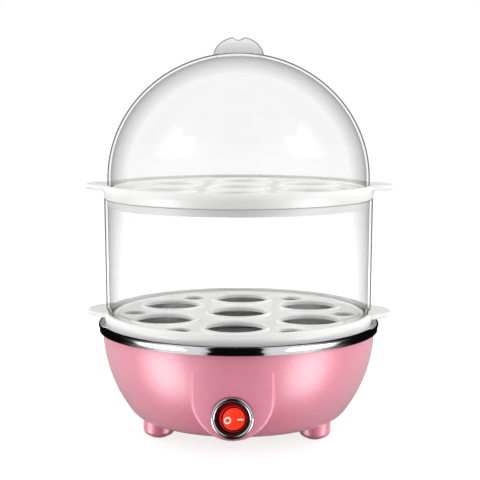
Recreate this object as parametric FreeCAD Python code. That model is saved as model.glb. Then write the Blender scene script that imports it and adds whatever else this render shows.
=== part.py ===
"""Two-tier electric egg cooker: a heated base, two egg trays, a clear spacer ring and a clear dome lid.

Units are millimetres and +Z is up. The origin is on the surface that the feet stand on, on the axis of the
round body, and the switch faces -Y. Every piece is written to parts/NAME.step.
"""

import FreeCAD
import Part
import math
import os

V = FreeCAD.Vector

# ---------------------------------------------------------------- driving dimensions
BODY_SPHERE_R = 80.0       # outer radius of the bowl-shaped base shell
BODY_CENTRE_Z = 61.0       # height of that sphere's centre
BODY_FLOOR_Z = 8.0         # underside of the base shell
BODY_CORNER_R = 13.0       # between the underside and the sphere
SHELL_WALL = 2.2
SHELL_TOP_Z = 60.6

RIM_R = 82.0               # outside of the steel rim, the widest round of the body
RIM_BOTTOM_Z = 59.5
RIM_TOP_Z = 64.2
DISH_SEAT_Z = 62.3         # the ledge in the steel rim that carries the lower tray
DISH_FLOOR_Z = 46.0
DISH_SHEET = 0.6

TIER_PITCH = 74.4          # from one tray to the next
LOWER_TRAY_Z = 62.4        # underside of the lower tray's outer wall
UPPER_TRAY_Z = LOWER_TRAY_Z + TIER_PITCH
REST_GAP = 0.1             # between stacked pieces that rest on each other

SEAT_PITCH = 48.0          # from the centre egg seat to each of the six around it
SEAT_HOLE_R = 17.0
STEAM_HOLE_R = 7.0
STEAM_PITCH = 62.0

CLEAR_WALL = 1.8           # wall of the clear dome and spacer ring
DOME_R = 76.4
DOME_RISE = 72.8
DOME_BASE_Z = 148.0
KNOB_HALF_WIDTH = 14.6
KNOB_HALF_DEPTH = 7.4
KNOB_RISE = 11.2
KNOB_SINK = 2.2            # of the knob's middle below the dome's top
NOTCH_R = 4.2              # the notch between the knob's two ears
NOTCH_LIFT = 2.5           # of the notch's middle above the knob's top

FOOT_RING_R = 52.0
FOOT_ANGLES = (90.0, 210.0, 330.0)

SWITCH_Z = 25.0
SWITCH_FACE_Y = -78.3      # flat seat of the switch on the front boss
ROCKER_TILT = 10.0         # each way from level; the rocker rests with its right side pressed

GROMMET_Z = 30.0
GROMMET_FACE_Y = 78.0
CORD_BORE_R = 3.25


# ---------------------------------------------------------------- drawing helpers
def rounded_edges(corners, closed=True):
    """Edges in the XZ plane through (x, z) or (x, z, radius) corners, each corner rounded by its radius."""
    count = len(corners)
    starts, ends, arcs = [], [], []
    for i, corner in enumerate(corners):
        here = V(corner[0], 0, corner[1])
        radius = corner[2] if len(corner) > 2 else 0
        inner = closed or 0 < i < count - 1
        if radius and inner:
            before = corners[i - 1]
            after = corners[(i + 1) % count]
            u = (V(before[0], 0, before[1]) - here).normalize()
            w = (V(after[0], 0, after[1]) - here).normalize()
            half = u.getAngle(w) / 2
            reach = radius / math.tan(half)
            middle = (u + w).normalize()
            centre = here + middle * (radius / math.sin(half))
            starts.append(here + u * reach)
            ends.append(here + w * reach)
            arcs.append(centre - middle * radius)
        else:
            starts.append(here)
            ends.append(here)
            arcs.append(None)
    edges = []
    for i in range(count):
        if arcs[i] is not None:
            edges.append(Part.Arc(starts[i], arcs[i], ends[i]).toShape())
        following = (i + 1) % count
        if following == 0 and not closed:
            break
        if (starts[following] - ends[i]).Length > 1e-6:
            edges.append(Part.LineSegment(ends[i], starts[following]).toShape())
    return edges


def turned(corners):
    """A solid of revolution about Z from a closed outline of (radius, z[, fillet]) corners."""
    face = Part.Face(Part.Wire(rounded_edges(corners)))
    return as_solid(face.revolve(V(0, 0, 0), V(0, 0, 1), 360))


def turned_sheet(corners, thickness):
    """A turned sheet-metal piece: the open outline is its outer skin, and the thickness lies behind it."""
    wire = Part.Wire(rounded_edges(corners, closed=False))
    face = wire.makeOffset2D(thickness, 0, True, True)
    return as_solid(face.revolve(V(0, 0, 0), V(0, 0, 1), 360))


def as_solid(shape):
    """The one solid in a shape, the right way out."""
    solid = shape.Solids[0] if shape.Solids else Part.makeSolid(shape)
    if solid.Volume < 0:
        solid.reverse()
    return solid


def disc(radius, low, high, x=0.0, y=0.0):
    """An upright cylinder from one height to another."""
    return Part.makeCylinder(radius, high - low, V(x, y, low))


def bar_y(radius, start, end, x=0.0, z=0.0):
    """A cylinder along Y from one y to another."""
    return Part.makeCylinder(radius, abs(end - start), V(x, min(start, end), z), V(0, 1, 0))


def box(low, high):
    """A box between two corners."""
    return Part.makeBox(high[0] - low[0], high[1] - low[1], high[2] - low[2], V(*low))


def fused(shapes):
    """One solid from overlapping shapes."""
    first = shapes[0]
    return first.fuse(shapes[1:]).removeSplitter() if len(shapes) > 1 else first


def turned_by(shape, degrees, axis=V(0, 0, 1), about=V(0, 0, 0)):
    """A copy turned about an axis."""
    copy = shape.copy()
    copy.rotate(about, axis, degrees)
    return copy


def around(shape, angles):
    """Copies of a shape drawn at angle 0, one at each angle about Z."""
    return [turned_by(shape, angle) for angle in angles]


def rounded_plate(half_x, half_y, radius, low, high):
    """An upright plate with rounded corners, centred on the origin."""
    corners = [
        (-half_x, -half_y, radius),
        (half_x, -half_y, radius),
        (half_x, half_y, radius),
        (-half_x, half_y, radius),
    ]
    wire = Part.Wire(rounded_edges(corners))
    wire.rotate(V(0, 0, 0), V(1, 0, 0), 90)
    plate = Part.Face(wire).extrude(V(0, 0, high - low))
    plate.translate(V(0, 0, low))
    return plate


def wire_tube(points, radius):
    """A round lead along a route of points, straight runs joined by arcs as large as the runs allow."""
    points = [V(*p) for p in points]
    edges = []
    start = points[0]
    for before, here, after in zip(points, points[1:], points[2:]):
        u = (before - here).normalize()
        w = (after - here).normalize()
        half = u.getAngle(w) / 2
        reach = 0.45 * min((before - here).Length, (after - here).Length)
        middle = (u + w).normalize()
        bend = reach * math.tan(half)
        first = here + u * reach
        last = here + w * reach
        mid = here + middle * (bend / math.sin(half) - bend)
        edges.append(Part.LineSegment(start, first).toShape())
        edges.append(Part.Arc(first, mid, last).toShape())
        start = last
    edges.append(Part.LineSegment(start, points[-1]).toShape())
    path = Part.Wire(edges)
    heading = (points[1] - points[0]).normalize()
    ring = Part.Wire(Part.makeCircle(radius, points[0], heading))
    return as_solid(path.makePipeShell([ring], True, False))


def pan_screw(head_r, head_h, shank_r, shank_l):
    """A pan-head screw pointing up, with the head's upper face at z = 0 and a cross recess below."""
    head = turned([(0, -head_h), (head_r, -head_h, 0.45 * head_h), (head_r, 0), (0, 0)])
    screw = fused([head, disc(shank_r, -0.2, shank_l)])
    slot_w = 0.28 * head_r
    slot_l = 0.62 * head_r
    slot_top = -0.55 * head_h
    for half_x, half_y in ((slot_l, slot_w), (slot_w, slot_l)):
        screw = screw.cut(box((-half_x, -half_y, -head_h - 0.1), (half_x, half_y, slot_top)))
    return screw


def placed(shape, x, y, z):
    """A copy moved to a place."""
    copy = shape.copy()
    copy.translate(V(x, y, z))
    return copy


def on_ring(shape, radius, angles, z=0.0):
    """Copies of a shape drawn at the origin, spread on a circle."""
    return around(placed(shape, radius, 0, z), angles)


# ---------------------------------------------------------------- base shell
BOSS_HALF_WIDTH = 22.8
BOSS_FACE_R = 79.2
BOSS_WALL = 2.8
BOSS_EDGE_R = 1.6
BOSS_BOTTOM_Z = 12.2
BOTTOM_HOLE_R = 30.0
COVER_R = 38.0
COVER_GAP = 0.3
COVER_THICKNESS = 2.0
COVER_LEDGE_Z = 9.4
COVER_SCREW_R = 34.0
COVER_BOSS_R = 3.2
COVER_BOSS_TOP_Z = 15.0
FOOT_R = 9.0
FOOT_FLAT_Z = 0.9
FOOT_TOP_Z = 14.0
FOOT_EDGE_R = 3.8
POST_R = 4.6
POST_TOP_Z = 36.0
POST_HEAD_R = 3.3
POST_BORE_R = 1.7
POST_HEAD_SEAT_Z = 14.0
PAD_R = 4.6
PAD_GAP = 0.15
PAD_TOP_Z = 2.4
PAD_PLUG_R = 3.2
PAD_PLUG_TOP_Z = 6.0
COLLAR_R = 9.0
COLLAR_START_Y = 60.0
COLLAR_WALL = 4.0          # of the collar's end, which the grommet snaps round
GROMMET_HOLE_R = 5.2
GROMMET_ROOM_R = 8.0
SEAT_CUT_R = 12.0
PANEL_HOLE_R = 10.2


def bowl(radius, floor_z, top_z, corner):
    """A sphere's lower part, cut flat below and above, with its floor corner rounded."""
    ball = Part.makeSphere(radius, V(0, 0, BODY_CENTRE_Z))
    wide = 2 * radius
    cup = ball.common(box((-wide, -wide, floor_z), (wide, wide, top_z)))
    low_edges = [e for e in cup.Edges if abs(e.BoundBox.ZMax - floor_z) < 1e-3]
    return cup.makeFillet(corner, [e for e in low_edges if e.BoundBox.DiagonalLength > radius])


def boss_block(inset, face_r, edge_r):
    """The U-shaped switch boss on the bowl's front. Its face is a cylinder about the body's axis."""
    half = BOSS_HALF_WIDTH - inset
    curve_z = BOSS_BOTTOM_Z + BOSS_HALF_WIDTH
    corners = [
        V(half, 0, curve_z),
        V(half, 0, SHELL_TOP_Z),
        V(-half, 0, SHELL_TOP_Z),
        V(-half, 0, curve_z),
    ]
    sides = [Part.LineSegment(a, b).toShape() for a, b in zip(corners, corners[1:])]
    round_bottom = Part.Arc(corners[-1], V(0, 0, curve_z - half), corners[0]).toShape()
    block = Part.Face(Part.Wire(sides + [round_bottom])).extrude(V(0, -2 * face_r, 0))
    block = block.common(disc(face_r, 0, SHELL_TOP_Z + 1))
    front = [e for e in block.Edges if e.BoundBox.YMax < -0.9 * face_r]
    return block.makeFillet(edge_r, [e for e in front if e.BoundBox.ZMin < SHELL_TOP_Z - 1])


def shell_outside():
    """The shell's outer form: bowl, switch boss, cord collar and feet."""
    foot = turned([
        (0, FOOT_FLAT_Z),
        (FOOT_R, FOOT_FLAT_Z, FOOT_EDGE_R),
        (FOOT_R, FOOT_TOP_Z),
        (0, FOOT_TOP_Z),
    ])
    outer = bowl(BODY_SPHERE_R, BODY_FLOOR_Z, SHELL_TOP_Z, BODY_CORNER_R)
    boss = boss_block(0, BOSS_FACE_R, BOSS_EDGE_R)
    collar = bar_y(COLLAR_R, COLLAR_START_Y, GROMMET_FACE_Y, z=GROMMET_Z)
    return fused([outer, boss, collar] + on_ring(foot, FOOT_RING_R, FOOT_ANGLES))


def shell_inside():
    """The hollow of the bowl and the boss."""
    floor_z = BODY_FLOOR_Z + SHELL_WALL
    inner = bowl(BODY_SPHERE_R - SHELL_WALL, floor_z, SHELL_TOP_Z + 1, BODY_CORNER_R - 2.0)
    return fused([inner, boss_block(SHELL_WALL, BOSS_FACE_R - BOSS_WALL, 0.5)])


def shell_holes():
    """Every hole in the shell: screw recesses, bottom opening, switch seat and cord hole."""
    recess = fused([
        disc(POST_HEAD_R, 0, POST_HEAD_SEAT_Z),
        disc(POST_BORE_R, 0, POST_TOP_Z + 1),
        disc(PAD_R + PAD_GAP, 0, PAD_TOP_Z),
    ])
    cuts = on_ring(recess, FOOT_RING_R, FOOT_ANGLES)
    cuts += on_ring(disc(1.15, 0, COVER_BOSS_TOP_Z - 1), COVER_SCREW_R, FOOT_ANGLES)
    cuts.append(disc(BOTTOM_HOLE_R, 0, BODY_FLOOR_Z + SHELL_WALL + 1))
    cuts.append(disc(COVER_R + COVER_GAP, 0, COVER_LEDGE_Z))
    cuts.append(bar_y(SEAT_CUT_R, SWITCH_FACE_Y, -90, z=SWITCH_Z))
    cuts.append(bar_y(PANEL_HOLE_R, -90, -60, z=SWITCH_Z))
    cuts.append(bar_y(GROMMET_HOLE_R, 40, 90, z=GROMMET_Z))
    cuts.append(bar_y(GROMMET_ROOM_R, 40, GROMMET_FACE_Y - COLLAR_WALL, z=GROMMET_Z))
    return fused(cuts)


def base_shell():
    """Moulded bowl with the switch boss, three feet, screw posts, the cord collar and the opening below."""
    post = disc(POST_R, BODY_FLOOR_Z + SHELL_WALL - 0.5, POST_TOP_Z)
    cover_boss = disc(COVER_BOSS_R, COVER_LEDGE_Z + 0.1, COVER_BOSS_TOP_Z)
    posts = on_ring(post, FOOT_RING_R, FOOT_ANGLES) + on_ring(cover_boss, COVER_SCREW_R, FOOT_ANGLES)
    shell = fused([shell_outside().cut(shell_inside())] + posts)
    return shell.cut(shell_holes())


def bottom_cover():
    """Round plate that closes the opening in the shell, with vent slots."""
    low = COVER_LEDGE_Z - COVER_THICKNESS
    plate = turned([(0, low), (COVER_R, low, 0.8), (COVER_R, COVER_LEDGE_Z), (0, COVER_LEDGE_Z)])
    slots = 10
    slot = rounded_plate(7.5, 1.3, 1.25, 0, 10)
    holes = on_ring(slot, 17.5, [360.0 / slots * i for i in range(slots)])
    holes += on_ring(disc(1.6, 0, 10), COVER_SCREW_R, FOOT_ANGLES)
    return plate.cut(fused(holes))


def cover_screws():
    """Three screws that hold the bottom cover."""
    screw = pan_screw(2.7, 1.5, 1.1, 5.8)
    return on_ring(screw, COVER_SCREW_R, FOOT_ANGLES, COVER_LEDGE_Z - COVER_THICKNESS)


def foot_pads():
    """Three rubber pads that plug the screw recesses and stand on the table."""
    pad = turned([
        (0, 0),
        (PAD_R, 0, 0.5),
        (PAD_R, PAD_TOP_Z),
        (PAD_PLUG_R, PAD_TOP_Z),
        (PAD_PLUG_R, PAD_PLUG_TOP_Z, 0.6),
        (0, PAD_PLUG_TOP_Z),
    ])
    return on_ring(pad, FOOT_RING_R, FOOT_ANGLES)


# ---------------------------------------------------------------- steel dish and its fixings
DISH_WALL_R = 76.9
DISH_SEAT_R = 79.6         # outside of the ledge that carries the lower tray
DISH_BEND_Z = 55.0         # where the dish's wall starts to slope in
DISH_FLOOR_R = 66.0
DISH_WELL_R = 40.0         # the flat middle, pressed a little lower
DISH_WELL_DROP = 0.6
BRACKET_LEDGE_Z = 37.2
BRACKET_SHEET = 1.2


def heating_dish():
    """Pressed stainless water dish whose edge rolls over the shell as the bright rim."""
    skin = [
        (RIM_R, RIM_BOTTOM_Z),
        (RIM_R, RIM_TOP_Z, 1.3),
        (DISH_SEAT_R, RIM_TOP_Z, 0.6),
        (DISH_SEAT_R, DISH_SEAT_Z, 0.7),
        (DISH_WALL_R, DISH_SEAT_Z, 0.7),
        (DISH_WALL_R, DISH_BEND_Z, 4.0),
        (DISH_FLOOR_R, DISH_FLOOR_Z, 7.0),
        (DISH_WELL_R, DISH_FLOOR_Z, 3.0),
        (DISH_WELL_R - 3.5, DISH_FLOOR_Z - DISH_WELL_DROP, 3.0),
        (0, DISH_FLOOR_Z - DISH_WELL_DROP),
    ]
    return turned_sheet(skin, DISH_SHEET)


def dish_seal():
    """Silicone ring between the shell's top edge and the dish."""
    low = SHELL_TOP_Z
    high = DISH_SEAT_Z - DISH_SHEET
    inner = BODY_SPHERE_R - SHELL_WALL + 0.1
    return turned([(inner, low), (DISH_SEAT_R, low), (DISH_SEAT_R, high), (inner, high)])


def dish_brackets():
    """Three bent steel tabs welded under the dish, which the tie screws pull on."""
    top = DISH_FLOOR_Z - DISH_SHEET - 0.05
    low = POST_TOP_Z
    start, bend, end = 41.5, 45.6, 57.0
    half_width = 5.0
    bent = [
        (start, top),
        (start, top - BRACKET_SHEET),
        (bend, top - BRACKET_SHEET, 1.0),
        (bend, low, 1.0),
        (end, low),
        (end, BRACKET_LEDGE_Z),
        (bend + BRACKET_SHEET, BRACKET_LEDGE_Z, 1.0),
        (bend + BRACKET_SHEET, top),
    ]
    strip = Part.Face(Part.Wire(rounded_edges(bent))).extrude(V(0, 2 * half_width, 0))
    strip.translate(V(0, -half_width, 0))
    strip = strip.cut(disc(1.75, 30, 60, x=FOOT_RING_R))
    return around(strip, FOOT_ANGLES)


def dish_nuts():
    """Three hexagon nuts welded on the brackets."""
    sides = 6
    corner_r = 3.2
    turns = [2 * math.pi * i / sides for i in range(sides + 1)]
    corners = [V(corner_r * math.cos(turn), corner_r * math.sin(turn), 0) for turn in turns]
    nut = Part.Face(Part.makePolygon(corners)).extrude(V(0, 0, 2.4))
    nut = nut.cut(disc(1.6, -1, 4))
    return on_ring(nut, FOOT_RING_R, FOOT_ANGLES, BRACKET_LEDGE_Z)


def dish_screws():
    """Three long screws up through the shell's posts that tie the dish down."""
    screw = pan_screw(2.9, 2.0, 1.5, 26.5)
    return on_ring(screw, FOOT_RING_R, FOOT_ANGLES, POST_HEAD_SEAT_Z)


# ---------------------------------------------------------------- heater
SPREADER_R = 36.0
SPREADER_HOLE_R = 11.0
SPREADER_TOP_Z = DISH_FLOOR_Z - DISH_WELL_DROP - DISH_SHEET
SPREADER_LOW_Z = SPREADER_TOP_Z - 3.0
ELEMENT_RING_R = 26.0
ELEMENT_R = 3.2
ELEMENT_Z = SPREADER_LOW_Z - 1.4
ELEMENT_GAP_DEG = 44.0
ELEMENT_END_Z = 33.0
BEAD_LOW_Z = 31.0
PIN_LOW_Z = 27.0
BRIDGE_SCREW_X = 15.5


def element_path(radius):
    """The C-shaped ring of the sheathed element, open towards -Y, in a tube of the given radius."""
    sweep = 360.0 - ELEMENT_GAP_DEG
    torus = Part.makeTorus(ELEMENT_RING_R, radius, V(0, 0, ELEMENT_Z), V(0, 0, 1), -180, 180, sweep)
    torus.rotate(V(0, 0, 0), V(0, 0, 1), -90 + ELEMENT_GAP_DEG / 2)
    return torus


def element_end(side):
    """Where the element's ring ends, on the left (-1) or right (1) of the gap."""
    angle = math.radians(-90 + side * ELEMENT_GAP_DEG / 2)
    return ELEMENT_RING_R * math.cos(angle), ELEMENT_RING_R * math.sin(angle)


def heat_spreader():
    """Aluminium disc brazed under the dish, grooved for the element, with a hole for the thermostat."""
    plate = turned([
        (SPREADER_HOLE_R, SPREADER_LOW_Z, 0.4),
        (SPREADER_R, SPREADER_LOW_Z, 0.8),
        (SPREADER_R, SPREADER_TOP_Z),
        (SPREADER_HOLE_R, SPREADER_TOP_Z),
    ])
    groove = Part.makeTorus(ELEMENT_RING_R, ELEMENT_R + 0.05, V(0, 0, ELEMENT_Z))
    holes = [disc(1.1, 0, SPREADER_TOP_Z + 1, x=s * BRIDGE_SCREW_X) for s in (-1, 1)]
    return plate.cut(fused([groove] + holes))


def heater_tube():
    """Sheathed resistance element bent to a C, with both ends turned down."""
    ring = element_path(ELEMENT_R)
    ends = []
    for side in (-1, 1):
        x, y = element_end(side)
        ends.append(Part.makeSphere(ELEMENT_R, V(x, y, ELEMENT_Z)))
        ends.append(disc(ELEMENT_R, ELEMENT_END_Z, ELEMENT_Z, x, y))
    return fused([ring] + ends)


def heater_seals():
    """Ceramic beads that close the element's ends."""
    return [disc(2.6, BEAD_LOW_Z, ELEMENT_END_Z, *element_end(side)) for side in (-1, 1)]


def heater_pins():
    """Terminal pins of the element."""
    return [disc(1.2, PIN_LOW_Z, BEAD_LOW_Z, *element_end(side)) for side in (-1, 1)]


# ---------------------------------------------------------------- thermostat and fuse
THERMO_CAP_LOW_Z = SPREADER_TOP_Z - 4.6
THERMO_CAP_R = 7.8
THERMO_R = 6.9
THERMO_LOW_Z = 29.5
THERMO_BLADE_X = 4.2
BRIDGE_SHEET = 1.0


def thermostat_cap():
    """Aluminium cap of the boil-dry thermostat, pressed against the dish."""
    return turned([
        (0, THERMO_CAP_LOW_Z),
        (THERMO_CAP_R, THERMO_CAP_LOW_Z),
        (THERMO_CAP_R, SPREADER_TOP_Z, 0.8),
        (0, SPREADER_TOP_Z),
    ])


def thermostat_body():
    """Phenolic body of the thermostat."""
    return turned([
        (0, THERMO_LOW_Z),
        (THERMO_R, THERMO_LOW_Z, 0.6),
        (THERMO_R, THERMO_CAP_LOW_Z),
        (0, THERMO_CAP_LOW_Z),
    ])


def thermostat_blades():
    """Two flat terminals of the thermostat."""
    blade = box((-0.4, -3.15, THERMO_LOW_Z - 8.0), (0.4, 3.15, THERMO_LOW_Z))
    return [placed(blade, s * THERMO_BLADE_X, 0, 0) for s in (-1, 1)]


def thermostat_bracket():
    """Steel bridge that holds the thermostat up against the dish."""
    low = THERMO_CAP_LOW_Z - BRIDGE_SHEET
    strip = rounded_plate(19.0, 4.5, 2.0, low, THERMO_CAP_LOW_Z)
    bridge = fused([strip, disc(9.8, low, THERMO_CAP_LOW_Z)]).cut(disc(THERMO_R + 0.2, 0, 60))
    leg = box((-3.1, -4.0, THERMO_CAP_LOW_Z - 0.05), (2.9, 4.0, SPREADER_LOW_Z))
    legs = around(placed(leg, BRIDGE_SCREW_X, 0, 0), (0, 180))
    holes = [disc(1.35, 0, 60, x=s * BRIDGE_SCREW_X) for s in (-1, 1)]
    return fused([bridge] + legs).cut(fused(holes))


def thermostat_screws():
    """Two screws of the thermostat's bridge."""
    screw = pan_screw(2.6, 1.6, 1.05, 5.2)
    return [placed(screw, s * BRIDGE_SCREW_X, 0, THERMO_CAP_LOW_Z - BRIDGE_SHEET) for s in (-1, 1)]


FUSE_Y = 22.0
FUSE_Z = 34.0
FUSE_LEAD_END = 15.0
FUSE_SLEEVE_HALF = 13.0


def thermal_fuse():
    """Small can of the one-shot thermal fuse, with its leads."""
    can = Part.makeCylinder(1.9, 11.0, V(-5.5, FUSE_Y, FUSE_Z), V(1, 0, 0))
    lead = Part.makeCylinder(0.5, 2 * FUSE_LEAD_END, V(-FUSE_LEAD_END, FUSE_Y, FUSE_Z), V(1, 0, 0))
    return fused([can, lead])


def fuse_sleeve():
    """Glass-fibre sleeve round the thermal fuse."""
    start = V(-FUSE_SLEEVE_HALF, FUSE_Y, FUSE_Z)
    length = 2 * FUSE_SLEEVE_HALF
    outer = Part.makeCylinder(2.9, length, start, V(1, 0, 0))
    return outer.cut(Part.makeCylinder(2.2, length, start, V(1, 0, 0)))


# ---------------------------------------------------------------- switch
HOUSING_R = 9.9
HOUSING_DEPTH = 15.0
ROCKER_R = 7.8
PIVOT_DEPTH = 2.6          # of the rocker's pivot behind the switch's seat
LEVER_DEPTH = 10.6         # of the contact lever's pivot behind the switch's seat
BLADE_PITCH = 5.6
BLADE_DEPTH = 23.0
BARREL_R = 8.35            # inside of the housing
HOUSING_WALL = 1.5         # of the housing's closed back
LEDGE_R = 10.85            # outside of the housing's flange
BEZEL_R = 11.5
STUB_R = 1.15
STUB_HOLE_R = 1.25
TUBE_R = 2.0
TUBE_BORE_R = 1.3
SCOOP_R = 40.0             # of the button's hollowed face
SCOOP_MIDDLE = 42.1        # of that round in front of the seat


def facing_front(shape):
    """Turns a piece drawn with its front towards +Z and its top towards +Y into the switch's place."""
    copy = shape.copy()
    copy.rotate(V(0, 0, 0), V(1, 0, 0), 90)
    copy.translate(V(0, SWITCH_FACE_Y, SWITCH_Z))
    return copy


def at_rest_tilt(shape, depth, degrees):
    """Turns a placed switch piece about its upright pivot."""
    return turned_by(shape, degrees, V(0, 0, 1), V(0, SWITCH_FACE_Y + depth, SWITCH_Z))


def switch_housing():
    """Black switch body: a flange, a barrel, two pivot holes and a closed back with blade slots."""
    body = turned([
        (BARREL_R, 1.7),
        (9.3, 1.7),
        (9.3, 1.0),
        (LEDGE_R, 1.0),
        (LEDGE_R, 0),
        (HOUSING_R, 0),
        (HOUSING_R, -HOUSING_DEPTH, 0.6),
        (0, -HOUSING_DEPTH),
        (0, -HOUSING_DEPTH + HOUSING_WALL),
        (BARREL_R, -HOUSING_DEPTH + HOUSING_WALL),
    ])
    pivots = Part.makeCylinder(STUB_HOLE_R, 19.0, V(0, -9.5, -PIVOT_DEPTH), V(0, 1, 0))
    slot = box((-0.45, -2.45, -20), (0.45, 2.45, -10))
    slots = [placed(slot, i * BLADE_PITCH, 0, 0) for i in (-1, 0, 1)]
    return facing_front(body.cut(pivots).cut(fused(slots)))


def switch_bezel():
    """Bright trim ring that covers the housing's flange."""
    ring = turned([
        (9.35, 1.05),
        (LEDGE_R + 0.05, 1.05),
        (LEDGE_R + 0.05, 0.02),
        (BEZEL_R, 0.02),
        (BEZEL_R, 2.1, 1.0),
        (9.35, 2.4, 0.9),
    ])
    return facing_front(ring)


def switch_rocker():
    """Red see-saw button: a round cap with a hollowed face, two pivot stubs and a plunger tube."""
    cap = turned([
        (0, -1.2),
        (6.6, -1.2),
        (6.6, -5.0),
        (7.4, -5.0),
        (ROCKER_R, 0.2, 1.0),
        (6.9, 2.6, 0.4),
        (6.55, 2.6),
        (6.55, 1.7),
        (6.2, 1.7),
        (6.2, 2.6),
        (0, 2.6),
    ])
    cap = cap.cut(Part.makeCylinder(SCOOP_R, 20.0, V(0, -10, SCOOP_MIDDLE), V(0, 1, 0)))
    stubs = [Part.makeCylinder(STUB_R, 2.6, V(0, s * 6.8, -PIVOT_DEPTH), V(0, s, 0)) for s in (-1, 1)]
    body = fused([cap, disc(TUBE_R, -6.4, 0.0)] + stubs)
    body = body.cut(disc(TUBE_BORE_R, -7.0, -1.6))
    trimmed = body.common(Part.makeSphere(9.35, V(0, 0, -PIVOT_DEPTH)))
    return at_rest_tilt(facing_front(trimmed), PIVOT_DEPTH, ROCKER_TILT)


def rocker_plunger():
    """Nylon plunger in the rocker's tube that slides along the contact lever."""
    pin = turned([(0, -9.6), (1.2, -9.6, 1.1), (1.2, -4.9), (0, -4.9)])
    return at_rest_tilt(facing_front(pin), PIVOT_DEPTH, ROCKER_TILT)


def plunger_spring():
    """Coil spring behind the plunger."""
    pitch, height, coil_r, wire_r = 0.62, 2.8, 0.95, 0.16
    start_depth = 4.7
    helix = Part.makeHelix(pitch, height, coil_r)
    helix.translate(V(0, 0, -start_depth))
    ring = Part.Wire(Part.makeCircle(wire_r, V(coil_r, 0, -start_depth), V(0, 1, 0.1)))
    coil = as_solid(Part.Wire(helix).makePipeShell([ring], True, True))
    return at_rest_tilt(facing_front(coil), PIVOT_DEPTH, ROCKER_TILT)


def contact_lever():
    """Brass see-saw contact that tips on the centre terminal."""
    strip = box((-6.6, -1.8, -LEVER_DEPTH + 0.25), (6.6, 1.8, -LEVER_DEPTH + 0.75))
    tips = [Part.makeCylinder(0.7, 0.35, V(s * BLADE_PITCH, 0, -LEVER_DEPTH - 0.05)) for s in (-1, 1)]
    return at_rest_tilt(facing_front(fused([strip] + tips)), LEVER_DEPTH, -ROCKER_TILT / 2)


def switch_blades():
    """Three flat terminals of the switch; the middle one carries the lever."""
    blades = []
    for i in (-1, 0, 1):
        front = -LEVER_DEPTH - (0.15 if i == 0 else 0.8)
        blade = box((-0.4, -2.4, -BLADE_DEPTH), (0.4, 2.4, front))
        blades.append(facing_front(placed(blade, i * BLADE_PITCH, 0, 0)))
    return blades


def neon_lamp():
    """Small glow lamp under the rocker, standing on its two wires."""
    y, z = 5.3, -8.3
    half_length = 3.5
    wire_x = 4.9
    lamp = Part.makeCylinder(1.0, 2 * half_length, V(-half_length, y, z), V(1, 0, 0))
    back = HOUSING_WALL - HOUSING_DEPTH
    routes = [[(s * 3.0, y, z), (s * wire_x, y, z), (s * wire_x, y, back)] for s in (-1, 1)]
    return facing_front(fused([lamp] + [wire_tube(route, 0.3) for route in routes]))


# ---------------------------------------------------------------- cord entry and wiring
BLADE_END_Y = SWITCH_FACE_Y + BLADE_DEPTH
LEAD_R = 1.1
BLOCK_ANGLE = 150.0
BLOCK_R = 41.0
BLOCK_TOP_Z = 18.0
BLOCK_WAY_Y = 5.2          # of each way either side of the block's middle
BLOCK_BORE_Z = 12.4
THERMO_BLADE_END_Z = THERMO_LOW_Z - 8.2


def cord_grommet():
    """Rubber grommet in the shell's back collar that the mains cord passes through."""
    ring = turned([
        (CORD_BORE_R, 2.4),
        (6.6, 2.4, 0.9),
        (7.6, 0, 0.3),
        (5.0, 0),
        (5.0, -COLLAR_WALL),
        (7.2, -COLLAR_WALL),
        (6.4, -6.6, 0.8),
        (CORD_BORE_R, -6.6),
    ])
    ring.rotate(V(0, 0, 0), V(1, 0, 0), -90)
    ring.translate(V(0, GROMMET_FACE_Y, GROMMET_Z))
    return ring


def terminal_block():
    """Two-way terminal block on the shell's floor, where the mains cord ends."""
    floor_z = BODY_FLOOR_Z + SHELL_WALL
    block = rounded_plate(5.0, 10.5, 1.0, floor_z, BLOCK_TOP_Z - 2.5)
    tower = rounded_plate(4.6, 4.0, 1.0, floor_z + 1, BLOCK_TOP_Z)
    bores = []
    towers = []
    for s in (-1, 1):
        towers.append(placed(tower, 0, s * BLOCK_WAY_Y, 0))
        bores.append(Part.makeCylinder(1.7, 20, V(-10, s * BLOCK_WAY_Y, BLOCK_BORE_Z), V(1, 0, 0)))
        bores.append(disc(1.6, BLOCK_BORE_Z, BLOCK_TOP_Z + 1, y=s * BLOCK_WAY_Y))
    block = fused([block] + towers).cut(fused(bores))
    return turned_by(placed(block, BLOCK_R, 0, 0), BLOCK_ANGLE)


def terminal_screws():
    """Clamp screws of the terminal block."""
    slot = box((-0.3, -2, BLOCK_TOP_Z - 1.2), (0.3, 2, BLOCK_TOP_Z))
    screw = disc(1.45, 14.3, BLOCK_TOP_Z - 0.6).cut(slot)
    return [turned_by(placed(screw, BLOCK_R, s * BLOCK_WAY_Y, 0), BLOCK_ANGLE) for s in (1, -1)]


def spade_sleeves():
    """Insulating sleeves over the switch's blades."""
    outer = box((-1.9, BLADE_END_Y - 7.0, SWITCH_Z - 3.6), (1.9, BLADE_END_Y + 5.0, SWITCH_Z + 3.6))
    outer = outer.makeFillet(1.2, [e for e in outer.Edges if e.BoundBox.YLength > 10])
    hollow = box((-1.3, BLADE_END_Y - 8.0, SWITCH_Z - 2.7), (1.3, BLADE_END_Y + 6.0, SWITCH_Z + 2.7))
    sleeve = outer.cut(hollow)
    return [placed(sleeve, i * BLADE_PITCH, 0, 0) for i in (-1, 0, 1)]


def block_mouth(side, reach):
    """The mouth of one way of the terminal block, reach beyond its middle along its radius."""
    angle = math.radians(BLOCK_ANGLE)
    along = BLOCK_R + reach
    across = side * BLOCK_WAY_Y
    x = along * math.cos(angle) - across * math.sin(angle)
    y = along * math.sin(angle) + across * math.cos(angle)
    return x, y, BLOCK_BORE_Z


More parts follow.
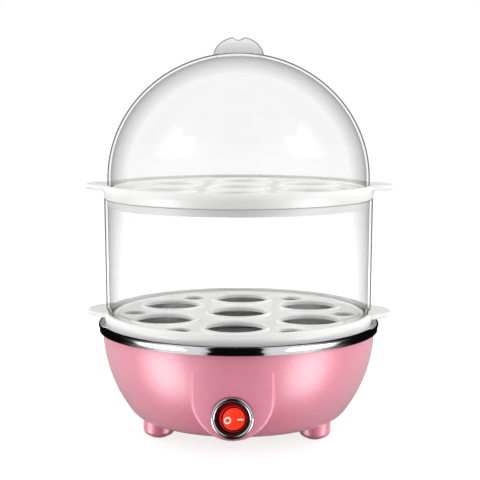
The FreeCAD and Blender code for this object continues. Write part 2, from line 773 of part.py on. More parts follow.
def live_lead():
    """Brown lead from the terminal block to the switch's left blade."""
    return wire_tube([
        block_mouth(1, -3.0), block_mouth(1, -12.0), (-31.0, -8.0, 16.0), (-24.0, -26.0, 21.0),
        (-10.0, -38.0, 24.0), (-BLADE_PITCH, -46.0, SWITCH_Z), (-BLADE_PITCH, BLADE_END_Y + 0.3, SWITCH_Z),
    ], LEAD_R)


def switched_lead():
    """Brown lead from the switch's middle blade to the thermal fuse."""
    return wire_tube([
        (0, BLADE_END_Y + 0.3, SWITCH_Z), (0, -45.0, SWITCH_Z), (6.0, -36.0, 22.0), (22.0, -24.0, 20.0),
        (31.0, -6.0, 22.0), (29.0, 12.0, 28.0), (23.0, FUSE_Y, FUSE_Z), (15.3, FUSE_Y, FUSE_Z),
    ], LEAD_R)


def fuse_lead():
    """Lead from the thermal fuse to the thermostat's left blade."""
    return wire_tube([
        (-15.3, FUSE_Y, FUSE_Z), (-22.0, 20.0, 32.0), (-22.0, 9.0, 24.0), (-13.0, 1.0, 18.0),
        (-THERMO_BLADE_X, 0, 16.0), (-THERMO_BLADE_X, 0, THERMO_BLADE_END_Z),
    ], LEAD_R)


def heater_lead():
    """Lead from the thermostat's right blade to the element's right pin."""
    x, y = element_end(1)
    return wire_tube([
        (THERMO_BLADE_X, 0, THERMO_BLADE_END_Z), (THERMO_BLADE_X, -1.0, 15.0), (9.0, -8.0, 14.0),
        (x + 2.0, y + 6.0, 16.0),
        (x, y, 20.0), (x, y, PIN_LOW_Z - 0.1),
    ], LEAD_R)


def neutral_lead():
    """Blue lead from the terminal block to the element's left pin."""
    x, y = element_end(-1)
    return wire_tube([
        block_mouth(-1, -3.0), block_mouth(-1, -11.0), (-20.0, 4.0, 11.0), (-14.0, -10.0, 12.0),
        (x - 1.0, y + 5.0, 15.0), (x, y, 20.0), (x, y, PIN_LOW_Z - 0.1),
    ], LEAD_R)


# ---------------------------------------------------------------- trays, spacer ring and dome
TRAY_FLOOR = 5.6           # top of a tray's floor above its outer wall's underside
TRAY_SHEET = 2.0
TRAY_LIP = 8.3             # top of the lip
LIP_INNER_R = 76.8
TRAY_WALL_R = 79.1         # the widest round of the tray
TRAY_RIB = 1.2             # height of the rib that centres the ring or the dome
SEAT_RIM = 1.1             # height of the rim round each seat
SEAT_RIM_WIDTH = 2.6
SPIGOT_R = 76.2            # the part that drops into the ring or the dish below
SPIGOT_WALL = 1.8
SPIGOT_DROP = 4.3
HANDLE_TIP_R = 90.0
HANDLE_R = 20.0            # the tab's own round outline
HANDLE_LOW = 5.3
HANDLE_TOP = 8.1
RING_TOP_R = 78.4
RING_LOW_R = 77.9


def tray_handle():
    """One rounded finger tab of a tray, pointing to +X."""
    tab = disc(HANDLE_R, HANDLE_LOW, HANDLE_TOP, x=HANDLE_TIP_R - HANDLE_R)
    tab = tab.makeFillet(0.9, [e for e in tab.Edges if e.Closed])
    return tab.cut(disc(LIP_INNER_R + 1.0, 0, TRAY_LIP))


def tray_body():
    """The tray's turned form: a floor, a lip above, a rib inside the lip and a spigot below."""
    floor_low = TRAY_FLOOR - TRAY_SHEET
    rib_top = TRAY_FLOOR + TRAY_RIB
    return turned([
        (0, floor_low),
        (72.6, floor_low, 1.5),
        (74.2, 0, 1.0),
        (SPIGOT_R - SPIGOT_WALL, -SPIGOT_DROP, 0.4),
        (SPIGOT_R, -SPIGOT_DROP, 0.5),
        (SPIGOT_R, 0),
        (TRAY_WALL_R - 0.9, 0, 0.9),
        (TRAY_WALL_R, 5.2, 4.5),
        (TRAY_WALL_R - 0.7, TRAY_LIP, 0.8),
        (LIP_INNER_R, TRAY_LIP, 0.8),
        (LIP_INNER_R, TRAY_FLOOR, 0.3),
        (73.8, TRAY_FLOOR, 0.3),
        (73.6, rib_top, 0.5),
        (72.6, rib_top, 0.5),
        (72.2, TRAY_FLOOR, 0.5),
        (0, TRAY_FLOOR),
    ])


def seat_rim():
    """The raised rim round one egg seat, before its hole is cut."""
    low = TRAY_FLOOR - TRAY_SHEET + 0.5
    top = TRAY_FLOOR + SEAT_RIM
    inner = SEAT_HOLE_R - 1.0
    outer = SEAT_HOLE_R + SEAT_RIM_WIDTH
    return turned([
        (inner, low),
        (outer, low),
        (outer, TRAY_FLOOR, 0.3),
        (outer - 0.5, top, 0.7),
        (SEAT_HOLE_R + 0.6, top, 0.5),
        (inner, TRAY_FLOOR - 1.0),
    ])


def egg_tray(base_z):
    """White tray with seven egg seats, six steam holes and two finger tabs."""
    seat_angles = [30.0 + 60 * i for i in range(6)]
    steam_angles = [60.0 * i for i in range(6)]
    rims = [seat_rim()] + on_ring(seat_rim(), SEAT_PITCH, seat_angles)
    body = fused([tray_body()] + rims + around(tray_handle(), (0, 180)))
    seat_hole = disc(SEAT_HOLE_R, -1, TRAY_LIP)
    holes = [seat_hole] + on_ring(seat_hole, SEAT_PITCH, seat_angles)
    holes += on_ring(disc(STEAM_HOLE_R, -1, TRAY_LIP), STEAM_PITCH, steam_angles)
    return placed(body.cut(Part.makeCompound(holes)), 0, 0, base_z)


def spacer_ring():
    """Clear ring between the trays: slightly tapered, with its lower edge drawn in to sit inside the lip."""
    low = LOWER_TRAY_Z + TRAY_FLOOR + REST_GAP
    step = LOWER_TRAY_Z + TRAY_LIP + 0.6
    top = UPPER_TRAY_Z - REST_GAP
    return turned([
        (DOME_R, low, 0.3),
        (DOME_R, step, 0.6),
        (RING_LOW_R, step + 1.4, 1.2),
        (RING_TOP_R, top, 0.5),
        (RING_TOP_R - CLEAR_WALL, top, 0.3),
        (RING_LOW_R - CLEAR_WALL, step + 1.9, 1.2),
        (DOME_R - CLEAR_WALL, step + 0.5, 0.6),
        (DOME_R - CLEAR_WALL, low, 0.3),
    ])


def dome_volume(radius, rise, low):
    """A half ellipsoid on a short straight skirt."""
    centre = V(0, 0, DOME_BASE_Z)
    apex = V(0, 0, DOME_BASE_Z + rise)
    edge = V(radius, 0, DOME_BASE_Z)
    foot = V(radius, 0, low)
    outline = [
        Part.ArcOfEllipse(Part.Ellipse(edge, apex, centre), 0, math.pi / 2).toShape(),
        Part.LineSegment(apex, V(0, 0, low)).toShape(),
        Part.LineSegment(V(0, 0, low), foot).toShape(),
        Part.LineSegment(foot, edge).toShape(),
    ]
    face = Part.Face(Part.Wire(Part.__sortEdges__(outline)))
    return as_solid(face.revolve(V(0, 0, 0), V(0, 0, 1), 360))


def ellipsoid(half_x, half_y, half_z, z):
    """An ellipsoid centred on the axis."""
    scale = FreeCAD.Matrix()
    scale.scale(half_x, half_y, half_z)
    ball = Part.makeSphere(1.0).transformGeometry(scale)
    ball.translate(V(0, 0, z))
    return ball


def dome_lid():
    """Clear dome with a hollow grip on top, notched like two small ears."""
    low = UPPER_TRAY_Z + TRAY_FLOOR + REST_GAP
    apex = DOME_BASE_Z + DOME_RISE
    knob_z = apex - KNOB_SINK
    knob = ellipsoid(KNOB_HALF_WIDTH, KNOB_HALF_DEPTH, KNOB_RISE, knob_z)
    knob = knob.common(box((-20, -20, apex - 8.0), (20, 20, apex + 20)))
    notch_z = knob_z + KNOB_RISE + NOTCH_LIFT
    knob = knob.cut(Part.makeCylinder(NOTCH_R, 40, V(0, -20, notch_z), V(0, 1, 0)))
    outer = dome_volume(DOME_R, DOME_RISE, low)
    inner = dome_volume(DOME_R - CLEAR_WALL, DOME_RISE - CLEAR_WALL, low - 1)
    pocket = ellipsoid(KNOB_HALF_WIDTH - 2.0, KNOB_HALF_DEPTH - 1.9, KNOB_RISE - 3.6, knob_z)
    return outer.fuse(knob).cut(inner).cut(pocket)


# ---------------------------------------------------------------- the assembly
PIECES = {
    "base_shell": base_shell,
    "bottom_cover": bottom_cover,
    "bottom_cover_screws": cover_screws,
    "foot_pads": foot_pads,
    "heating_dish": heating_dish,
    "dish_seal": dish_seal,
    "dish_brackets": dish_brackets,
    "dish_nuts": dish_nuts,
    "dish_screws": dish_screws,
    "heat_spreader": heat_spreader,
    "heater_tube": heater_tube,
    "heater_seals": heater_seals,
    "heater_pins": heater_pins,
    "thermostat_cap": thermostat_cap,
    "thermostat_body": thermostat_body,
    "thermostat_blades": thermostat_blades,
    "thermostat_bracket": thermostat_bracket,
    "thermostat_screws": thermostat_screws,
    "thermal_fuse": thermal_fuse,
    "fuse_sleeve": fuse_sleeve,
    "switch_housing": switch_housing,
    "switch_bezel": switch_bezel,
    "switch_blades": switch_blades,
    "switch_rocker": switch_rocker,
    "rocker_plunger": rocker_plunger,
    "plunger_spring": plunger_spring,
    "contact_lever": contact_lever,
    "neon_lamp": neon_lamp,
    "cord_grommet": cord_grommet,
    "terminal_block": terminal_block,
    "terminal_screws": terminal_screws,
    "spade_sleeves": spade_sleeves,
    "live_lead": live_lead,
    "switched_lead": switched_lead,
    "fuse_lead": fuse_lead,
    "heater_lead": heater_lead,
    "neutral_lead": neutral_lead,
    "lower_egg_tray": lambda: egg_tray(LOWER_TRAY_Z),
    "spacer_ring": spacer_ring,
    "upper_egg_tray": lambda: egg_tray(UPPER_TRAY_Z),
    "dome_lid": dome_lid,
}


def main():
    """Builds every piece and writes one STEP file for each."""
    os.makedirs("parts", exist_ok=True)
    for name, build in PIECES.items():
        made = build()
        solids = made if isinstance(made, list) else [made]
        solids = [s for shape in solids for s in shape.Solids]
        shape = solids[0] if len(solids) == 1 else Part.makeCompound(solids)
        valid = all(s.isValid() for s in solids)
        print(f"{name}: {len(solids)} solid(s), {shape.Volume:.0f} mm3, valid {valid}")
        shape.exportStep(f"parts/{name}.step")


main()
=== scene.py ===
"""The looks of a two-tier egg cooker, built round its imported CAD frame.

Every length in a dataclass field is in millimetres and every place is worked out from the frame's boxes,
so each finished piece lies where its CAD node does. The switch faces -Y and +Z is up.
"""

import logging
import math
from collections.abc import Iterable, Sequence
from dataclasses import dataclass, field
from enum import Enum

import bmesh
import bpy
from mathutils import Matrix, Vector


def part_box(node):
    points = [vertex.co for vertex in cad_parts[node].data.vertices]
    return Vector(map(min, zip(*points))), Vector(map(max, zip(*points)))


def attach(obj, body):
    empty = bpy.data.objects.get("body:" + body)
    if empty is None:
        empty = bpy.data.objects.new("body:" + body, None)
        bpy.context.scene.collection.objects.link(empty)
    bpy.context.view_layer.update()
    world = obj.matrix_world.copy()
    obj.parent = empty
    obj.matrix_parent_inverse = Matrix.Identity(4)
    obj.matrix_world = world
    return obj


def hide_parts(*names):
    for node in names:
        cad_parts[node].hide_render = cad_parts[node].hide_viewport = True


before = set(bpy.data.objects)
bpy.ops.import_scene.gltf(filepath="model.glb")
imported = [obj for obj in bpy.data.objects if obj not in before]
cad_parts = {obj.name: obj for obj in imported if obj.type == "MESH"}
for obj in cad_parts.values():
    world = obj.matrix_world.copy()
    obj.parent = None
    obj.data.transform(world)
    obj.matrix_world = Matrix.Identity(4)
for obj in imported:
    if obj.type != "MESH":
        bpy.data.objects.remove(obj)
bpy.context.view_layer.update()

LOG = logging.getLogger("egg_cooker")
MM = 0.001
ROUND_STEPS = 6            # faces across a rounded corner
BIG_ROUND = 256            # faces round a piece the size of the body
SMALL_ROUND = 96           # faces round a hole, foot or switch part
CREASE = math.radians(32)  # edges sharper than this stay crisp

Corner = tuple[float, ...]
Point2 = tuple[float, float]


# ------------------------------------------------------------------------------------------- colours and nodes
def srgb(code: str) -> tuple[float, float, float, float]:
    """Turns an sRGB hex colour into Blender's linear RGBA.

    Args:
        code: six hex digits, such as "F2A6B6".

    Returns:
        The linear colour with an alpha of 1.
    """
    channels = [int(code[i:i + 2], 16) / 255 for i in (0, 2, 4)]
    linear = [c / 12.92 if c <= 0.04045 else ((c + 0.055) / 1.055) ** 2.4 for c in channels]
    return linear[0], linear[1], linear[2], 1.0


def add(tree: bpy.types.NodeTree, kind: str, inputs: dict[str | int, object] | None = None,
        **settings: object) -> bpy.types.Node:
    """Adds one node, sets it up and links it.

    Args:
        tree: the node tree it goes in.
        kind: Blender's name for the node's class.
        inputs: sockets by name or number, each given a value or another node's output to link.
        settings: the node's own properties.

    Returns:
        The new node.
    """
    node = tree.nodes.new(kind)
    for name, value in settings.items():
        setattr(node, name, value)
    for key, value in (inputs or {}).items():
        if isinstance(value, bpy.types.NodeSocket):
            tree.links.new(value, node.inputs[key])
        else:
            node.inputs[key].default_value = value
    return node


def ramp(tree: bpy.types.NodeTree, factor: bpy.types.NodeSocket,
         stops: Sequence[tuple[float, tuple[float, float, float, float]]]) -> bpy.types.NodeSocket:
    """Adds a colour ramp and returns its colour output.

    Args:
        tree: the node tree it goes in.
        factor: what drives it, from 0 to 1.
        stops: (place, colour) pairs in order.

    Returns:
        The ramp's colour socket.
    """
    node = add(tree, "ShaderNodeValToRGB", {"Fac": factor})
    elements = node.color_ramp.elements
    while len(elements) < len(stops):
        elements.new(0.5)
    for element, (place, colour) in zip(elements, stops):
        element.position = place
        element.color = colour
    return node.outputs["Color"]


def grey(level: float) -> tuple[float, float, float, float]:
    """A neutral linear colour."""
    return level, level, level, 1.0


# ------------------------------------------------------------------------------------------- finishes
@dataclass(frozen=True)
class Finish:
    """One real material. Subclasses say how its surface was made by adding pattern nodes."""

    name: str
    colour: str
    roughness: float
    ior: float = 1.5
    metallic: float = 0.0
    sheen: float = 0.0
    coat: float = 0.0
    coat_roughness: float = 0.1
    scatter_mm: float = 0.0
    gloss: float = 0.5             # share of the mirror at right angles; 0.5 is what the refraction alone gives
    glow: float = 0.0              # painted glow: light of its own colour that it gives off, though it is no lamp
    colour_shift: float = 0.03     # how far the colour drifts over the surface
    grain_mm: float = 2.0          # size of the surface's relief
    relief_mm: float = 0.004       # height of that relief

    def material(self) -> bpy.types.Material:
        """Builds the material once and returns it every time after that."""
        made = bpy.data.materials.get(self.name)
        if made is None:
            made = bpy.data.materials.new(self.name)
            made.use_nodes = True
            made.node_tree.nodes.clear()
            self.build(made.node_tree)
            made.diffuse_color = srgb(self.colour)
        return made

    def position(self, tree: bpy.types.NodeTree) -> bpy.types.NodeSocket:
        """The place on the object, in metres."""
        return add(tree, "ShaderNodeTexCoord").outputs["Object"]

    def noise(self, tree: bpy.types.NodeTree, size_mm: float, detail: float = 2.0,
              where: bpy.types.NodeSocket | None = None) -> bpy.types.NodeSocket:
        """Noise whose blobs are about size_mm across, from 0 to 1.

        Args:
            tree: the node tree it goes in.
            size_mm: the blobs' width.
            detail: how many finer layers it has.
            where: coordinates to use in place of the object's own.

        Returns:
            The noise's factor socket.
        """
        place = where or self.position(tree)
        scale = 1.0 / (size_mm * MM)
        inputs = {"Vector": place, "Scale": scale, "Detail": detail, "Roughness": 0.55}
        return add(tree, "ShaderNodeTexNoise", inputs).outputs["Fac"]

    def tinted(self, tree: bpy.types.NodeTree, size_mm: float) -> bpy.types.NodeSocket:
        """The base colour drifting a little lighter and darker over the surface."""
        base = srgb(self.colour)
        low = tuple(c * (1 - self.colour_shift) for c in base[:3]) + (1.0,)
        high = tuple(min(1.0, c * (1 + self.colour_shift)) for c in base[:3]) + (1.0,)
        return ramp(tree, self.noise(tree, size_mm), [(0.3, low), (0.7, high)])

    def uneven_gloss(self, tree: bpy.types.NodeTree, size_mm: float,
                     spread: float = 0.15) -> bpy.types.NodeSocket:
        """Roughness that varies by spread of its own value."""
        inputs = {
            "Value": self.noise(tree, size_mm, 3.0), "From Min": 0.3, "From Max": 0.7,
            "To Min": self.roughness * (1 - spread), "To Max": self.roughness * (1 + spread),
        }
        return add(tree, "ShaderNodeMapRange", inputs).outputs["Result"]

    def relief(self, tree: bpy.types.NodeTree, height: bpy.types.NodeSocket,
               depth_mm: float | None = None) -> bpy.types.NodeSocket:
        """A bump of the finish's real relief height."""
        distance = (self.relief_mm if depth_mm is None else depth_mm) * MM
        bump = add(tree, "ShaderNodeBump", {"Height": height, "Distance": distance, "Strength": 1.0})
        return bump.outputs["Normal"]

    def shader(self, tree: bpy.types.NodeTree, inputs: dict[str | int, object]) -> bpy.types.Node:
        """A Principled shader with the finish's constants on its own sockets, joined to the output."""
        settings: dict[str | int, object] = {
            "Base Color": srgb(self.colour), "Roughness": self.roughness, "Metallic": self.metallic,
            "Coat Weight": self.coat, "Coat Roughness": self.coat_roughness, "Sheen Weight": self.sheen,
            "Specular IOR Level": self.gloss, "Emission Color": srgb(self.colour), "Emission Strength": self.glow,
        }
        if not self.metallic:
            settings["IOR"] = self.ior
        if self.scatter_mm:
            settings["Subsurface Weight"] = 1.0
            settings["Subsurface Scale"] = self.scatter_mm * MM
        settings.update(inputs)
        principled = add(tree, "ShaderNodeBsdfPrincipled", settings)
        add(tree, "ShaderNodeOutputMaterial", {"Surface": principled.outputs["BSDF"]})
        return principled

    def build(self, tree: bpy.types.NodeTree) -> None:
        """Moulded plastic or rubber: a faint mould texture and slightly uneven gloss."""
        self.shader(tree, {
            "Base Color": self.tinted(tree, 12.0),
            "Roughness": self.uneven_gloss(tree, 6.0),
            "Normal": self.relief(tree, self.noise(tree, self.grain_mm, 3.0)),
        })


@dataclass(frozen=True)
class PearlPolypropylene(Finish):
    """Injection-moulded polypropylene with pearl pigment: mica flakes lie along the skin and lift the highlights; a
    painted highlight pales its outline.
    """

    flake_mm: float = 0.7   # real flakes are 0.05 mm; drawn coarser so that they can be seen at all
    flake_and_rim_highlight_colour: str = "FFE3E6"

    def build(self, tree: bpy.types.NodeTree) -> None:
        """Pink body colour with a painted highlight that pales it towards its outline, flakes in the gloss and a
        faint orange-peel skin.
        """
        facing = add(tree, "ShaderNodeLayerWeight", {"Blend": 0.35}).outputs["Facing"]
        flakes = add(tree, "ShaderNodeTexVoronoi", {
            "Vector": self.position(tree), "Scale": 1.0 / (self.flake_mm * MM),
        }).outputs["Color"]
        glint = add(tree, "ShaderNodeMapRange", {
            "Value": flakes, "From Min": 0.55, "From Max": 1.0, "To Min": 0.0, "To Max": 0.10,
        }).outputs["Result"]
        pearl = add(tree, "ShaderNodeMix", {
            0: glint, 6: self.tinted(tree, 30.0), 7: srgb(self.flake_and_rim_highlight_colour),
        }, data_type="RGBA").outputs[2]
        # painted highlight: the pink pales towards the flake colour where the surface is seen edge on
        rim = add(tree, "ShaderNodeMapRange", {
            "Value": facing, "From Min": 0.25, "From Max": 0.85, "To Min": 0.0, "To Max": 0.65,
        }).outputs["Result"]
        body = add(tree, "ShaderNodeMix", {0: rim, 6: pearl, 7: srgb(self.flake_and_rim_highlight_colour)}, data_type="RGBA").outputs[2]
        self.shader(tree, {
            "Base Color": body,
            "Roughness": self.uneven_gloss(tree, self.flake_mm, 0.2),
            "Normal": self.relief(tree, self.noise(tree, self.grain_mm, 2.0)),
        })


@dataclass(frozen=True)
class PolishedSteel(Finish):
    """Stainless sheet polished on a spinning mandrel: a mirror with hair-fine rings round the axis."""

    line_mm: float = 0.8    # real polishing lines are 0.05 mm apart; drawn coarser so that they show

    def build(self, tree: bpy.types.NodeTree) -> None:
        """Rings of slightly different gloss, and the long soft waves of pressed sheet."""
        split = add(tree, "ShaderNodeSeparateXYZ", {"Vector": self.position(tree)})
        x_squared = add(tree, "ShaderNodeMath", {0: split.outputs["X"], 1: 2.0}, operation="POWER").outputs[0]
        y_squared = add(tree, "ShaderNodeMath", {0: split.outputs["Y"], 1: 2.0}, operation="POWER").outputs[0]
        total = add(tree, "ShaderNodeMath", {0: x_squared, 1: y_squared}, operation="ADD").outputs[0]
        radius = add(tree, "ShaderNodeMath", {0: total, 1: 0.5}, operation="POWER").outputs[0]
        place = add(tree, "ShaderNodeCombineXYZ", {"X": radius, "Y": 0.0, "Z": split.outputs["Z"]}).outputs[0]
        rings = self.noise(tree, self.line_mm, 4.0, place)
        gloss = add(tree, "ShaderNodeMapRange", {
            "Value": rings, "From Min": 0.3, "From Max": 0.7,
            "To Min": self.roughness * 0.6, "To Max": self.roughness * 1.5,
        }).outputs["Result"]
        waves = self.noise(tree, 25.0, 1.0)
        self.shader(tree, {
            "Base Color": self.tinted(tree, 20.0),
            "Roughness": gloss,
            "Normal": self.relief(tree, waves, 0.02),
        })


@dataclass(frozen=True)
class WorkedMetal(Finish):
    """Plated, cast, stamped or drawn metal: small blotches in colour and gloss, and a fine tooth."""

    blotch_mm: float = 3.0

    def build(self, tree: bpy.types.NodeTree) -> None:
        """Blotches of the plating or oxide over a fine relief."""
        self.shader(tree, {
            "Base Color": self.tinted(tree, self.blotch_mm),
            "Roughness": self.uneven_gloss(tree, self.blotch_mm * 0.5, 0.3),
            "Normal": self.relief(tree, self.noise(tree, self.grain_mm, 4.0)),
        })


@dataclass(frozen=True)
class BraidedGlass(Finish):
    """Glass-fibre sleeve, braided on the bobbin: pale diagonal strands that cross over each other."""

    strand_mm: float = 0.9

    def build(self, tree: bpy.types.NodeTree) -> None:
        """Two sets of diagonal bands, one over the other."""
        place = self.position(tree)
        heights = []
        for turn in (math.radians(45), math.radians(-45)):
            turned = add(tree, "ShaderNodeMapping", {"Vector": place, "Rotation": (turn, 0.0, turn)}).outputs[0]
            scale = 1.0 / (self.strand_mm * MM) / 3.0
            wave = add(tree, "ShaderNodeTexWave", {"Vector": turned, "Scale": scale}, bands_direction="X")
            heights.append(wave.outputs["Fac"])
        weave = add(tree, "ShaderNodeMath", {0: heights[0], 1: heights[1]}, operation="MAXIMUM").outputs[0]
        self.shader(tree, {
            "Base Color": ramp(tree, weave, [(0.2, srgb("C9C3B2")), (0.8, srgb(self.colour))]),
            "Normal": self.relief(tree, weave, 0.12),
        })


class Skin(Enum):
    """The faces of a clear moulded piece, in the order of its material slots."""

    OUTER = 0
    INNER = 1
    GRIP = 2
    POCKET = 3


@dataclass(frozen=True)
class ClearPolycarbonate(Finish):
    """Clear injection-moulded polycarbonate: see-through face on, with painted shade that darkens the wall where it
    is looked at edge on, in place of refraction.
    """

    clear_level: float = 0.985   # light that one face lets through, looked at squarely
    edge_level: float = 0.35     # and looked at edge on
    edge_from: float = 0.8       # where that darkening starts, from 0, square on, to 1, edge on
    edge_half: float = 0.55      # how far into the darkening it is half dark
    most_mirror: float = 0.15    # the largest share of light that it mirrors

    def tone(self, tree: bpy.types.NodeTree) -> bpy.types.NodeSocket:
        """How much light one face lets through, less towards the outline, where painted shade stands in for
        refraction.
        """
        facing = add(tree, "ShaderNodeLayerWeight", {"Blend": 0.5}).outputs["Facing"]
        middle = 0.5 * (self.clear_level + self.edge_level)
        return ramp(tree, facing, [
            (self.edge_from, grey(self.clear_level)),
            (self.edge_from + self.edge_half * (1 - self.edge_from), grey(middle)),
            (1.0, grey(self.edge_level)),
        ])

    def build(self, tree: bpy.types.NodeTree) -> None:
        """A see-through sheet that painted shade darkens towards its outline, under a mirror coat that follows
        Fresnel's law.
        """
        through = add(tree, "ShaderNodeBsdfTransparent", {"Color": self.tone(tree)}).outputs[0]
        flow = self.relief(tree, self.noise(tree, 30.0, 1.0), 0.02)
        shine = add(tree, "ShaderNodeBsdfGlossy", {
            "Color": grey(1.0), "Roughness": self.roughness, "Normal": flow,
        }).outputs[0]
        mirror = add(tree, "ShaderNodeFresnel", {"IOR": self.ior, "Normal": flow}).outputs[0]
        share = add(tree, "ShaderNodeMath", {0: mirror, 1: self.most_mirror}, operation="MINIMUM").outputs[0]
        mixed = add(tree, "ShaderNodeMixShader", {0: share, 1: through, 2: shine}).outputs[0]
        add(tree, "ShaderNodeOutputMaterial", {"Surface": mixed})


@dataclass(frozen=True)
class GripPolycarbonate(ClearPolycarbonate):
    """The same polycarbonate on the grip, with painted shade that greys it at its root and clears towards its tips.
    """

    root_z: float = 219.0        # height of the grip's root
    tip_z: float = 230.0         # and of its tips

    def tone(self, tree: bpy.types.NodeTree) -> bpy.types.NodeSocket:
        """The clear wall's tone, with painted shade greyer towards the grip's root."""
        height = add(tree, "ShaderNodeSeparateXYZ", {"Vector": self.position(tree)}).outputs["Z"]
        rise = add(tree, "ShaderNodeMapRange", {
            "Value": height, "From Min": self.root_z * MM, "From Max": self.tip_z * MM,
        }).outputs["Result"]
        painted_root_shade = ramp(tree, rise, [(0.0, grey(0.74)), (0.25, grey(0.8)), (1.0, grey(0.985))])
        return add(tree, "ShaderNodeMix", {0: 1.0, 6: super().tone(tree), 7: painted_root_shade},
                   data_type="RGBA", blend_type="MULTIPLY").outputs[2]


@dataclass(frozen=True)
class TintedPolycarbonate(Finish):
    """Red-tinted clear polycarbonate, drawn with a painted glow so that it shades less."""

    # painted glow: the tinted body gives off light of its own colour
    glow: float = 0.25

    def build(self, tree: bpy.types.NodeTree) -> None:
        """A saturated glossy body with a painted glow of its own colour."""
        self.shader(tree, {
            "Base Color": self.tinted(tree, 4.0),
            "Roughness": self.uneven_gloss(tree, 2.0),
            "Normal": self.relief(tree, self.noise(tree, self.grain_mm, 2.0)),
        })


# What each real material is, how it was made, and what that gives the eye.
PINK_SHELL = PearlPolypropylene(  # pearl-pigmented polypropylene, moulded in a polished tool: soft wide highlights, and a painted highlight that pales its outline
    "pearl_pink_polypropylene", "F292A8", 0.34, ior=1.49, coat=0.35, coat_roughness=0.22, gloss=1.0,
    relief_mm=0.006, grain_mm=3.0)
PINK_COVER = Finish(  # the same pink without pearl, moulded in a spark-eroded tool: an even satin
    "satin_pink_polypropylene", "E9929F", 0.5, ior=1.49, grain_mm=0.6, relief_mm=0.01)
WHITE_TRAY = Finish(  # natural white polypropylene, moulded: waxy, with light bleeding into thin edges
    "white_polypropylene", "F4F4F3", 0.34, ior=1.49, gloss=0.8, colour_shift=0.012, grain_mm=1.2, relief_mm=0.004)
MIRROR_STEEL = PolishedSteel(  # 18/8 stainless sheet, pressed and mirror polished: bright and black reflections
    "polished_stainless_steel", "DCDDDE", 0.07, metallic=1.0, colour_shift=0.015)
CLEAR_OUTER = ClearPolycarbonate(  # outside of the clear moulded walls: a thin painted dark line at the outline
    "clear_polycarbonate_outside", "F6F8F9", 0.03, ior=1.58, edge_level=0.02, edge_from=0.85,
    edge_half=0.16, most_mirror=0.012)
CLEAR_INNER = ClearPolycarbonate(  # inside of them: a soft painted grey band towards the outline, standing in for the wall's depth seen edge on
    "clear_polycarbonate_inside", "F6F8F9", 0.05, ior=1.58, edge_level=0.54, edge_from=0.5, most_mirror=0.006)
CLEAR_GRIP = GripPolycarbonate(  # outside of the grip: painted shade greys it at its root, with a painted dark outline
    "thick_polycarbonate", "F2F4F5", 0.04, ior=1.58, edge_level=0.01, edge_from=0.5, edge_half=0.35,
    most_mirror=0.004)
CLEAR_POCKET = ClearPolycarbonate(  # inside of the grip, all but unseen
    "clear_polycarbonate_pocket", "F6F8F9", 0.1, ior=1.58, edge_level=0.85, edge_from=0.6, most_mirror=0.005)
CLEAR_SKINS = {
    Skin.OUTER: CLEAR_OUTER, Skin.INNER: CLEAR_INNER, Skin.GRIP: CLEAR_GRIP, Skin.POCKET: CLEAR_POCKET,
}
RED_ROCKER = TintedPolycarbonate(  # red-tinted polycarbonate, moulded, with a faint painted glow
    "red_polycarbonate", "C40808", 0.18, ior=1.58, colour_shift=0.08, glow=0.15)
RED_FACE = TintedPolycarbonate(  # the same red, drawn as a brighter, more orange copy with a strong painted glow for the switch's lamp shining through the face
    "lit_red_polycarbonate", "FF2A08", 0.25, ior=1.58, colour_shift=0.04, glow=0.75)
RED_GROOVE_PAINTED_SHADE = Finish(  # painted shade: the same red drawn near-black in the deep groove round the face, where hardly any light gets
    "shadowed_red_polycarbonate", "1C0405", 0.6, ior=1.58, grain_mm=0.5)
WHITE_INK = Finish(  # pad-printed epoxy ink: a flat, slightly raised white, with a painted glow for the lamp shining through
    "white_pad_print", "FFF4EE", 0.45, glow=0.3, colour_shift=0.02, grain_mm=0.3, relief_mm=0.003)
BEZEL_CHROME = WorkedMetal(  # chrome plate on moulded plastic: a clean mirror
    "bright_chrome_plate", "DADCDF", 0.09, metallic=1.0, colour_shift=0.01, relief_mm=0.001)
BLACK_NYLON = Finish(  # glass-filled nylon, moulded: dull black with a fine grain
    "black_glass_filled_nylon", "121214", 0.42, ior=1.53, grain_mm=0.5, relief_mm=0.01)
WHITE_NYLON = Finish(  # natural nylon, moulded
    "natural_nylon", "ECEAE2", 0.4, ior=1.53, grain_mm=0.8, relief_mm=0.006)
BLACK_PHENOLIC = Finish(  # phenolic, compression moulded: brown-black and glossy
    "moulded_phenolic", "221B17", 0.28, ior=1.6, colour_shift=0.12, grain_mm=0.8)
PAD_RUBBER = Finish(  # thermoplastic rubber, moulded: matt, with sheen at a grazing look
    "pink_rubber", "C98592", 0.75, ior=1.5, sheen=0.2, grain_mm=0.5, relief_mm=0.02)
GROMMET_RUBBER = Finish(  # black rubber, moulded
    "black_rubber", "18181A", 0.7, ior=1.5, sheen=0.25, grain_mm=0.5, relief_mm=0.02)
SILICONE = Finish(  # translucent silicone, moulded: milky
    "milky_silicone", "E6E4DE", 0.5, ior=1.41, scatter_mm=1.0, grain_mm=1.0)
ZINC_SCREW = WorkedMetal(  # blue zinc plate on steel: a cool grey with faint blotches
    "zinc_plated_steel", "BFC4C9", 0.28, metallic=1.0, colour_shift=0.08, grain_mm=0.4, blotch_mm=1.5)
BRACKET_STEEL = WorkedMetal(  # galvanised strip: dull grey with spangle
    "galvanised_strip", "A6A9AB", 0.4, metallic=1.0, colour_shift=0.12, grain_mm=0.5, blotch_mm=4.0)
CAST_ALUMINIUM = WorkedMetal(  # pressure-cast aluminium: pale and finely pitted
    "cast_aluminium", "C3C6C9", 0.42, metallic=1.0, colour_shift=0.05, grain_mm=0.5, relief_mm=0.02)
OXIDISED_STEEL = WorkedMetal(  # annealed steel tube, blued by heat
    "annealed_steel_tube", "6C665F", 0.45, metallic=1.0, colour_shift=0.2, blotch_mm=5.0)
